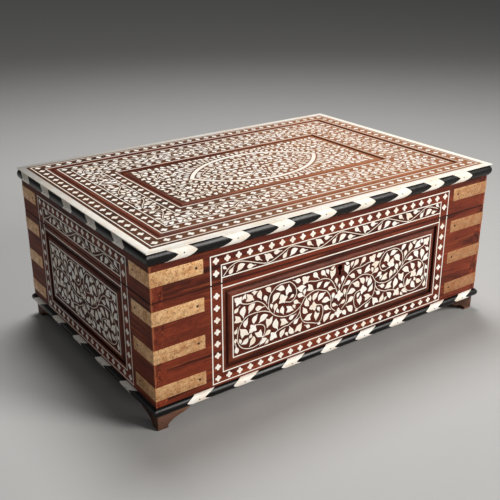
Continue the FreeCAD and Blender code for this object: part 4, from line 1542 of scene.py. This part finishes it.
@dataclass
class Carcass:
    """The boards of the body and of the lid."""

    cuts: tuple[float, ...] = (0.0, 1.3, 2.1, 3.7)
    lid_cut: float = 0.45
    lac_thick: float = 4.0
    # Dirt and painted shade along the split, and a painted shadow under the lid's moulding
    level_shades: tuple[LevelShade, ...] = (LevelShade(SPLIT, 1.5, 0.85), LevelShade(151.0, 9.0, 0.55))
    worn: Colour = srgb(168, 98, 66)
    panel_at: float = 75.3
    panel_half: HalfWidths = HalfWidths(119.4, 71.9)
    panel_high: float = 29.0
    band_at: float = 130.8
    band_half: HalfWidths = HalfWidths(130.0, 82.5)
    band_high: float = 5.3

    def board(self, name: str, side: Side, shift: float, ground: MitredFrame) -> Wood:
        """The wood of one board, worn at the box's edges, dark with old lac between the inlay, and with
        painted shade along the split and under the lid's moulding.

        Args:
            name: the finish's name.
            side: the side it is on.
            shift: where in the log it was cut, in metres.
            ground: the field that is inlaid.

        Returns:
            The finish.
        """
        lac = Lac(ground, side.out - self.lac_thick)
        edges = RubbedEdges((0.0, 0.0, TOP / 2), (HALF_LENGTH, HALF_DEPTH, TOP / 2), colour=self.worn)
        return Wood(name, grain=Grain["ALONG_" + side.across], shift=shift, layers=(lac, *self.level_shades, edges))

    def build(self) -> None:
        """Dresses every board."""
        for side, cut in zip(Side, self.cuts):
            panel = MitredFrame(side.across, "Z", self.panel_at, self.panel_half.of(side), self.panel_high)
            band = MitredFrame(side.across, "Z", self.band_at, self.band_half.of(side), self.band_high)
            board = self.board(f"waxed_rosewood_{side.label}", side, cut, panel)
            rail = self.board(f"waxed_rosewood_lid_{side.label}", side, cut + self.lid_cut, band)
            dress(board, f"{side.label}_board")
            dress(rail, f"lid_{side.label}_rail")
        dress(Wood("plain_rosewood_bottom", shift=5.2, smooth=0.6), "bottom_board")
        # The top board carries the painted sheen
        top = Wood("waxed_rosewood_top", srgb(42, 24, 13), srgb(92, 52, 28), srgb(122, 74, 42), shift=6.1,
                   layers=(PAINTED_SHEEN,))
        dress(top, "lid_top_board")


@dataclass
class EdgeMouldings:
    """The half-round ebony mouldings with their bone chevrons and pins."""

    bodies: tuple[tuple[str, str], ...] = (("base_moulding", "body"), ("lid_moulding", "lid"))
    chevrons: Bone = Bone("chevron_bone")
    iron: Metal = Metal("dark_iron", srgb(70, 62, 56), srgb(48, 42, 38), srgb(26, 20, 17), 0.6)

    def ebony(self, grain: Grain) -> Wood:
        """The ebony whose fibres run one way."""
        name, tones = f"polished_ebony_{grain.name.lower()}", (srgb(3, 3, 3), srgb(8, 7, 7), srgb(18, 15, 14))
        return Wood(name, *tones, grain, smooth=0.21, grain_depth=0.02, gloss=0.24)

    def build(self) -> None:
        """Smooths and dresses the mouldings and the chevrons, and dresses the pins."""
        for side in Side:
            for piece, body in self.bodies:
                ebony = self.ebony(Grain["ALONG_" + side.across])
                soften(f"{piece}_{side.label}", body, ebony)
        for piece, body in self.bodies:
            soften(f"{piece}_bone", body, self.chevrons)
            dress(self.iron, f"{piece}_pins")


@dataclass
class PanelFrames:
    """The moulded frames round the panels and in the lid's top."""

    middle: float = 75.3
    half_up: float = 30.0
    half_across: HalfWidths = HalfWidths(120.4, 72.9)
    sink: float = 2.0
    cuts: tuple[float, ...] = (0.9, 1.9, 2.9, 3.9)
    lid_frames: tuple[tuple[str, float, float], ...] = (("outer", 31.0, 7.31), ("inner", 84.5, 7.845))
    lid_sink: float = 1.2

    def wood(self, name: str, mitres: MitredFrame, shift: float, *layers: Layer) -> Wood:
        """The wood of one frame: its name, its mitres, where it was cut and its layers of age."""
        tones = (srgb(42, 15, 9), srgb(116, 54, 35), srgb(152, 84, 54))
        return Wood(name, *tones, mitres, shift, layers, smooth=0.42, gloss=0.15)

    def build(self) -> None:
        """Dresses the frames."""
        for side, cut in zip(Side, self.cuts):
            mitres = MitredFrame(side.across, "Z", self.middle, self.half_across.of(side), self.half_up)
            # Dirt and painted shade in each panel frame's hollow
            groove = Groove((0.0, 1.0, 0.0) if side.is_long else (1.0, 0.0, 0.0), side.out, self.sink)
            wood = self.wood(f"moulded_rosewood_{side.label}", mitres, cut, groove)
            dress(wood, f"{side.label}_panel_moulding")
        for name, inset, cut in self.lid_frames:
            mitres = MitredFrame("X", "Y", 0.0, HALF_LENGTH - inset, HALF_DEPTH - inset)
            # Dirt and painted shade in each lid frame's hollow
            groove = Groove((0.0, 0.0, 1.0), TOP, self.lid_sink)
            # The lid's frames carry the same painted sheen as the top
            wood = self.wood(f"moulded_rosewood_lid_{name}", mitres, cut, PAINTED_SHEEN, groove)
            dress(wood, f"lid_{name}_moulding")


@dataclass
class BoneBorders:
    """The bone lines, stars, edging and ring that are let in flush."""

    edging_wide: float = 7.5
    edging_ease: float = 0.6

    def build(self) -> None:
        """Dresses the borders and eases the edging."""
        border = Bone("border_bone")
        for side in Side:
            dress(border, f"{side.label}_bone_border", f"lid_{side.label}_bone_border")
        dress(border, "lid_top_bone_border", "lid_medallion_ring")
        mitres = MitredFrame("X", "Y", 0.0, HALF_LENGTH - self.edging_wide, HALF_DEPTH - self.edging_wide)
        soften("lid_bone_edging", "lid", Bone("edging_bone", grain=mitres), self.edging_ease)


@dataclass
class CornerStraps:
    """The brass straps bent round the corners, and their nails."""

    ease: float = 0.35
    # The straps turn browner and darker towards the right and the bottom
    brass: Metal = Metal("aged_brass", metal=0.45, layers=(BROWN_TOWARDS_LOW_RIGHT,))
    nails: Metal = Metal("dark_nails", srgb(84, 66, 48), srgb(56, 42, 32), srgb(28, 20, 16))

    def build(self) -> None:
        """Eases and dresses the straps, and dresses the nails."""
        for body in ("body", "lid"):
            soften(f"{body}_straps", body, self.brass, self.ease)
            dress(self.nails, f"{body}_strap_nails")


@dataclass
class BracketFeet:
    """The four bracket feet."""

    ease: float = 0.8
    wood: Wood = Wood("worn_foot_wood", srgb(60, 38, 29), srgb(106, 74, 59), srgb(142, 106, 84), smooth=0.5)

    def build(self) -> None:
        """Eases and dresses the feet."""
        for place in ("front_left", "front_right", "back_left", "back_right"):
            soften(f"foot_{place}", "body", self.wood, self.ease)


@dataclass
class HingesAndLock:
    """The hinges, the lock and their screws."""

    brass: Metal = Metal("hinge_brass", srgb(206, 160, 92), srgb(160, 116, 62), pitted=0.45, metal=1.0)
    steel: Metal = Metal("dull_steel", srgb(150, 146, 140), srgb(104, 100, 96), srgb(52, 46, 42), 0.4, 1.0)

    def build(self) -> None:
        """Dresses the metal pieces."""
        for hand in ("left", "right"):
            dress(self.brass, f"hinge_leaf_body_{hand}", f"hinge_leaf_lid_{hand}")
        dress(self.brass, "hinge_pins", "lock_plate", "lock_cap", "lid_link_plate")
        dress(self.steel, "lock_bolt", "lock_spring", "body_screws", "lid_screws")


@dataclass
class PanelInlay:
    """The scrolling stems and leaves in the four side panels."""

    cutter: InlayCutter
    long_seed: int = 11
    short_seed: int = 23
    half_wide: HalfWidths = HalfWidths(118.8, 71.3)
    half_high: float = 28.5
    middle: float = 75.6
    bare_middle: float = 0.8
    end_shift: float = 47.5
    end_stop: float = -0.6
    long_clear: tuple[tuple[float, Point], ...] = (
        (23.0, (5.0, 8.0)), (-4.4, (5.5, 6.0)), (-22.4, (4.0, 6.0)))
    short_clear: tuple[tuple[float, Point], ...] = ((21.0, (5.5, 6.0)), (-16.0, (5.5, 6.0)))
    long_flowers: FlowerRows = (
        (-4.4, LeafKind.STAR_FLOWER, 12.0, 0.0), (-22.4, LeafKind.STAR_FLOWER, 11.0, 0.0),
        (5.0, LeafKind.BUD, 6.0, 90.0))
    back_flower: FlowerRows = ((21.0, LeafKind.TREFOIL, 10.0, 90.0),)
    short_flowers: FlowerRows = (
        (21.0, LeafKind.TREFOIL, 10.5, 90.0), (6.0, LeafKind.BUD, 8.0, 90.0),
        (-2.6, LeafKind.ROSETTE, 6.0, 90.0), (-16.0, LeafKind.STAR_FLOWER, 11.0, 0.0))

    def half_panel(self, half_wide: float, seed: int, clear: tuple[tuple[float, Point], ...]) -> InlayField:
        """Starts the left half of a panel.

        Args:
            half_wide: half the panel's width.
            seed: the start of its run of chance.
            clear: the ovals kept clear on the middle line, each a height and its half width and half height.

        Returns:
            The drawing, still bare.
        """
        drawn = InlayField((-half_wide, -self.half_high), (0.0, self.half_high), seed, leaf_gap=0.5,
                           fill_sizes=(6.4, 5.6))
        drawn.keep_out((-self.bare_middle, -self.half_high), (0.0, self.half_high))
        for height, half in clear:
            drawn.keep_clear((0.0, height), half)
        return drawn

    def long_panel(self, flowers: FlowerRows) -> InlayField:
        """Draws a long panel.

        Args:
            flowers: the flowers on its middle line.

        Returns:
            The drawing, mirrored to full width.
        """
        drawn = self.half_panel(self.half_wide.long, self.long_seed, self.long_clear)
        for points in END_STEMS + MIDDLE_STEMS:
            drawn.stem(*points)
        drawn.grow(END_LEAVES)
        drawn.grow(MIDDLE_LEAVES)
        drawn.fill()
        drawn.mirror(Mirror.UPRIGHT)
        drawn.flowers(flowers)
        return drawn

    def short_panel(self) -> InlayField:
        """Draws a short panel from the ends of a long one.

        Returns:
            The drawing, mirrored to full width.
        """
        drawn = self.half_panel(self.half_wide.short, self.short_seed, self.short_clear)
        for points in END_STEMS:
            moved = [(x + self.end_shift, y) for x, y in points]
            drawn.stem(*[point for point in moved if point[0] < self.end_stop])
        drawn.grow(END_LEAVES, self.end_shift)
        drawn.fill()
        drawn.mirror(Mirror.UPRIGHT)
        drawn.flowers(self.short_flowers)
        return drawn

    def build(self) -> None:
        """Cuts the four panels; the back has a flower where the front has its keyhole."""
        short = self.short_panel()
        drawings = {Side.FRONT: self.long_panel(self.long_flowers),
                    Side.BACK: self.long_panel(self.long_flowers + self.back_flower),
                    Side.LEFT: short, Side.RIGHT: short}
        for side, drawn in drawings.items():
            self.cutter.cut(drawn, f"{side.label}_panel_inlay", "body", side.place(self.middle), side.turn())


@dataclass
class LidBandInlay:
    """The waving stem with leaves in the narrow band round the lid's sides."""

    cutter: InlayCutter
    seed: int = 5
    half_wide: HalfWidths = HalfWidths(129.4, 81.9)
    half_high: float = 5.2
    middle: float = 130.8
    wave: float = 56.2
    first_crest: float = -114.0
    bare_end: float = 1.0
    first_point: Point = (0.8, -4.6)
    next_point: float = 4.0
    stem_points: tuple[Point, ...] = (
        (0.0, 4.5), (4.0, 4.0), (8.0, 2.8), (12.0, 1.4), (16.0, -0.1), (20.0, -1.6), (24.0, -3.0),
        (28.0, -4.1), (31.0, -4.5), (35.0, -4.0), (39.0, -2.6), (43.0, -0.9), (47.0, 1.0), (50.0, 2.6),
        (53.0, 3.8))
    leaf_rows: LeafRows = field(default_factory=lambda: {
        LeafKind.COMMA_LEFT: ((-1.6, -4.4, 7.2, 0.6),),
        LeafKind.IVY_RIGHT: ((27.4, 4.4, 36.8, -1.2),),
        LeafKind.BUD: ((-3.6, 2.2, -8.8, -4.6), (18.6, -3.2, 9.2, -2.4), (24.8, -0.8, 17.6, 4.4),
                       (46.4, 3.0, 37.2, 3.4)),
    })
    end_leaves: LeafRows = field(default_factory=lambda: {
        LeafKind.BUD: ((-124.4, 0.2, -129.0, 3.8), (125.4, -2.2, 117.6, -3.0), (128.6, 0.8, 123.6, 4.8)),
    })

    def band(self, half_wide: float, end_leaves: LeafRows) -> InlayField:
        """Draws one band.

        Args:
            half_wide: half its length.
            end_leaves: the leaves at its ends.

        Returns:
            The drawing.
        """
        drawn = InlayField((-half_wide, -self.half_high), (half_wide, self.half_high), self.seed)
        crests = [self.first_crest + n * self.wave for n in range(-1, 5)]
        points = [(crest + x, y) for crest in crests for x, y in self.stem_points]
        inside = [p for p in points if self.next_point < p[0] + half_wide < 2 * half_wide - self.bare_end]
        drawn.stem((self.first_point[0] - half_wide, self.first_point[1]), *inside)
        reach = half_wide - self.bare_end
        for crest in crests:
            for kind, places in self.leaf_rows.items():
                kept = [row for row in places if max(abs(crest + row[0]), abs(crest + row[2])) < reach]
                drawn.grow({kind: tuple(kept)}, crest)
        drawn.grow(end_leaves)
        return drawn

    def build(self) -> None:
        """Cuts the four bands."""
        long_band = self.band(self.half_wide.long, self.end_leaves)
        short_band = self.band(self.half_wide.short, {})
        for side in Side:
            drawn = long_band if side.is_long else short_band
            name = f"lid_{side.label}_band_inlay"
            self.cutter.cut(drawn, name, "lid", side.place(self.middle), side.turn())


@dataclass
class LidTopInlay:
    """The vine round the lid's top and the leaves of its middle panel."""

    cutter: InlayCutter
    vine_seed: int = 31
    panel_seed: int = 47
    vine_outer: Point = (157.6, 94.1)
    vine_inner: Point = (137.6, 74.1)
    wave: float = 46.0
    swing: float = 5.6
    level_end: float = 127.0
    upright_end: float = 63.0
    corner: tuple[Point, ...] = ((4.0, -4.0), (-4.5, 5.0))
    level_hollows: int = 6
    upright_hollows: int = 3
    shoot: tuple[Point, ...] = ((-9.5, 0.5), (-7.5, 5.5), (-2.5, 8.0), (2.5, 6.5))
    shoot_edge: float = -1.5
    shoot_flower: float = 7.0
    flower_up: float = 2.6
    flower_edge: float = -4.0
    panel: Point = (117.2, 53.7)
    panel_stems: StemRows = (
        ((-46, -48.5), (-60, -46), (-76, -42), (-92, -34), (-100, -24), (-101, -13), (-94, -7), (-87, -9),
         (-85.5, -15), (-89, -19)),
        ((-82, -40), (-92, -44.5), (-102, -46), (-109, -41), (-110.5, -33), (-107, -28)),
        ((-8, -7), (-12, -16), (-20, -22), (-31, -23), (-39, -17), (-40, -9), (-34, -5), (-28, -8)),
        ((-38, -18.5), (-47, -17), (-55, -11), (-61, -5)),
    )
    panel_flowers: tuple[Point, ...] = ((-92.0, -20.5), (-27.0, -11.5))
    panel_flower: float = 7.6
    middle_flower: FlowerRows = ((0.0, LeafKind.ROSETTE, 9.0, 90.0),)
    middle_clear: Point = (5.4, 5.4)
    medallion: Point = (78.0, 43.0)
    ring_wide: float = 4.0
    ring_step: float = 0.4
    ring_points: int = 500
    ring_gap: float = 0.5
    petal_long: float = 6.0
    petal_pitch: float = 5.2
    petal_gap: float = 1.6
    seam: float = 0.5

    def quarter(self, corner: Point, seed: int, sizes: dict[str, tuple[float, ...]]) -> InlayField:
        """Starts the drawing of a quarter, from its outer corner to the middle lines."""
        low, high = (-corner[0], -corner[1]), (-self.seam, -self.seam)
        return InlayField(low, high, seed, leaf_gap=0.7, pitch=7.2, **sizes)

    def vine(self) -> InlayField:
        """Draws a quarter of the vine and mirrors it round the lid.

        Returns:
            The drawing.
        """
        outer, inner = self.vine_outer, self.vine_inner
        sizes = {"sprout_sizes": (8.0, 7.4, 6.8, 6.2, 5.6), "fill_sizes": (7.4, 6.6, 5.8, 5.0)}
        drawn = self.quarter(outer, self.vine_seed, sizes)
        drawn.keep_out((-inner[0], -inner[1]), (0.0, 0.0))
        across, up = (outer[0] + inner[0]) / 2, (outer[1] + inner[1]) / 2
        turns, step = 2 * math.pi / self.wave, self.wave / 8
        along, aside = np.arange(0.0, self.level_end, step), np.arange(self.upright_end, -1.0, -step)
        level = [(-x, -up - self.swing * math.cos(turns * x)) for x in along]
        upright = [(-across - self.swing * math.cos(turns * y), -y) for y in aside]
        drawn.stem(*level, *((x - across, y - up) for x, y in self.corner), *upright)
        for n in range(self.level_hollows):
            self.curl(drawn, (-n * self.wave / 2, -up), 0.0, (-1.0) ** n)
        for n in range(self.upright_hollows):
            self.curl(drawn, (-across, -n * self.wave / 2), math.pi / 2, (-1.0) ** (n + 1))
        drawn.complete()
        return drawn

    def curl(self, drawn: InlayField, middle: Point, turn: float, way: float) -> None:
        """Draws a side shoot that curls into the hollow of the vine, and the hollow's flower.

        Args:
            drawn: the drawing.
            middle: the vine's middle line at the hollow.
            turn: the way the band runs there.
            way: 1 if the hollow opens to the left of that way, and -1 to the right.
        """
        c, s = math.cos(turn), math.sin(turn)
        placed = [(middle[0] + x * c - y * way * s, middle[1] + x * s + y * way * c) for x, y in self.shoot]
        if all(max(point) < self.shoot_edge for point in placed):
            drawn.stem(*placed)
        x, y = middle[0] - self.flower_up * way * s, middle[1] + self.flower_up * way * c
        if max(x, y) < self.flower_edge:
            drawn.flower(x, y, LeafKind.ROSETTE, self.shoot_flower, math.degrees(turn))

    def ring(self) -> Point:
        """The pointed ring's arcs.

        Returns:
            Their radius, and how far past the middle line their centres lie.
        """
        half_long, half_wide = self.medallion
        radius = (half_long ** 2 + half_wide ** 2) / (2 * half_wide)
        return radius, radius - half_wide

    def fringe(self, drawn: InlayField) -> None:
        """Sets a fringe of petals round the outside of the ring, in one quarter.

        Args:
            drawn: the drawing.
        """
        radius, rise = self.ring()
        end = math.asin(self.medallion[0] / radius)
        count = int(radius * end / self.petal_pitch)
        for n in range(count):
            angle = end * (n + 0.5) / count
            out = Vector((-math.sin(angle), -math.cos(angle)))
            foot = out * (radius + self.petal_gap) + Vector((0.0, rise))
            turn = math.atan2(out.y, out.x)
            drawn.fit(Leaf(foot.x, foot.y, turn, self.petal_long, LeafKind.PETAL, drawn.tone()))

    def keep_ring(self, drawn: InlayField) -> None:
        """Keeps the ring's own ground free of leaves.

        Args:
            drawn: the drawing.
        """
        radius, rise = self.ring()
        angles = np.linspace(0.0, math.pi / 2, self.ring_points)
        ways = np.stack((-np.sin(angles), -np.cos(angles)), axis=1)
        for inset in np.arange(self.ring_step / 2, self.ring_wide, self.ring_step):
            spots = ways * (radius - inset) + (0.0, rise)
            drawn.bed.take(spots[spots[:, 1] < 0.0], self.ring_gap)

    def middle_panel(self) -> InlayField:
        """Draws a quarter of the middle panel and mirrors it.

        Returns:
            The drawing.
        """
        sizes = {"sprout_sizes": (7.8, 7.2, 6.6, 6.0, 5.4), "fill_sizes": (7.2, 6.4, 5.6, 5.0)}
        drawn = self.quarter(self.panel, self.panel_seed, sizes)
        drawn.keep_clear((0.0, 0.0), self.middle_clear)
        self.keep_ring(drawn)
        self.fringe(drawn)
        for points in self.panel_stems:
            drawn.stem(*points)
        for x, y in self.panel_flowers:
            drawn.flower(x, y, LeafKind.ROSETTE, self.panel_flower)
        drawn.complete(self.middle_flower)
        return drawn

    def build(self) -> None:
        """Cuts the vine and the middle panel."""
        place, turn = Vector((0.0, 0.0, TOP * MM)), Vector((0.0, 0.0, 0.0))
        self.cutter.cut(self.vine(), "lid_top_vine_inlay", "lid", place, turn)
        self.cutter.cut(self.middle_panel(), "lid_middle_panel_inlay", "lid", place, turn)


@dataclass(frozen=True)
class Lamp:
    """One soft lamp: its name, its place and size in metres, its power in watts and its colour."""

    name: str
    at: Triple
    size: Point
    power: float
    tint: Triple


@dataclass
class Studio:
    """The floor, the soft light and the camera."""

    floor_half: float = 6000.0
    camera_at: Triple = (-453.98, -630.72, 402.36)
    yaw: float = 35.31
    pitch: float = 23.077
    roll: float = -0.146
    lens: float = 57.272
    sensor: float = 36.0
    sky: float = 0.10
    lamps: tuple[Lamp, ...] = (
        Lamp("key_lamp", (1.25, -2.0, 0.95), (1.0, 1.5), 22.8, (1.0, 0.97, 0.93)),
        Lamp("top_lamp", (0.3, 0.5, 1.6), (0.8, 0.8), 8.0, (1.0, 0.99, 0.98)))
    lamp_spread: float = 110.0
    lamp_aim: Triple = (0.0, 0.0, 80.0)

    def floor(self) -> None:
        """Lays the floor."""
        laid = bmesh.new()
        bmesh.ops.create_grid(laid, x_segments=8, y_segments=8, size=self.floor_half * MM)
        mesh = bpy.data.meshes.new("pale_floor")
        laid.to_mesh(mesh)
        laid.free()
        mesh.materials.append(PaleFloor("pale_floor").material())
        ground = bpy.data.objects.new("pale_floor", mesh)
        bpy.context.scene.collection.objects.link(ground)

    def hang(self, lamp: Lamp) -> None:
        """Hangs one soft lamp that faces the box.

        Args:
            lamp: the lamp.
        """
        light = bpy.data.lights.new(lamp.name, "AREA")
        light.shape = "ELLIPSE"
        light.size, light.size_y = lamp.size
        light.energy = lamp.power
        light.color = lamp.tint
        light.spread = math.radians(self.lamp_spread)
        hung = bpy.data.objects.new(lamp.name, light)
        hung.location = lamp.at
        ahead = Vector(self.lamp_aim) * MM - Vector(lamp.at)
        hung.rotation_euler = ahead.to_track_quat("-Z", "Y").to_euler()
        bpy.context.scene.collection.objects.link(hung)

    def world(self) -> None:
        """Sets the even, soft surround."""
        world = bpy.data.worlds.new("soft_surround")
        world.use_nodes = True
        world.node_tree.nodes.clear()
        graph = Graph(world.node_tree)
        light = graph.get("ShaderNodeBackground", {"Color": (1.0, 1.0, 1.0, 1.0), "Strength": self.sky})
        graph.node("ShaderNodeOutputWorld", {"Surface": light})
        bpy.context.scene.world = world

    def camera(self) -> None:
        """Sets the camera at the photograph's place."""
        yaw, pitch, roll = (math.radians(angle) for angle in (self.yaw, self.pitch, self.roll))
        ahead = Vector((math.sin(yaw) * math.cos(pitch), math.cos(yaw) * math.cos(pitch), -math.sin(pitch)))
        level = Vector((math.cos(yaw), -math.sin(yaw), 0.0))
        above = level.cross(ahead)
        right = level * math.cos(roll) + above * math.sin(roll)
        up = above * math.cos(roll) - level * math.sin(roll)
        data = bpy.data.cameras.new("camera")
        data.lens = self.lens
        data.sensor_width = self.sensor
        placed = bpy.data.objects.new("camera", data)
        turn = Matrix((right, up, -ahead)).transposed().to_4x4()
        placed.matrix_world = Matrix.Translation(Vector(self.camera_at) * MM) @ turn
        bpy.context.scene.collection.objects.link(placed)
        bpy.context.scene.camera = placed

    def build(self) -> None:
        """Sets up the studio."""
        self.floor()
        for lamp in self.lamps:
            self.hang(lamp)
        self.world()
        self.camera()
        bpy.context.scene.view_settings.view_transform = "Standard"


def main() -> None:
    """Builds and dresses the box piece by piece."""
    logging.basicConfig(level=logging.INFO, format="%(name)s: %(message)s")
    cutter = InlayCutter()
    parts = (Carcass(), EdgeMouldings(), PanelFrames(), BoneBorders(), CornerStraps(), BracketFeet(),
             HingesAndLock(), PanelInlay(cutter), LidBandInlay(cutter), LidTopInlay(cutter), Studio())
    for part in parts:
        part.build()
        log.info("%s done", type(part).__name__)
    cutter.put_away()


if __name__ == "__main__":
    main()
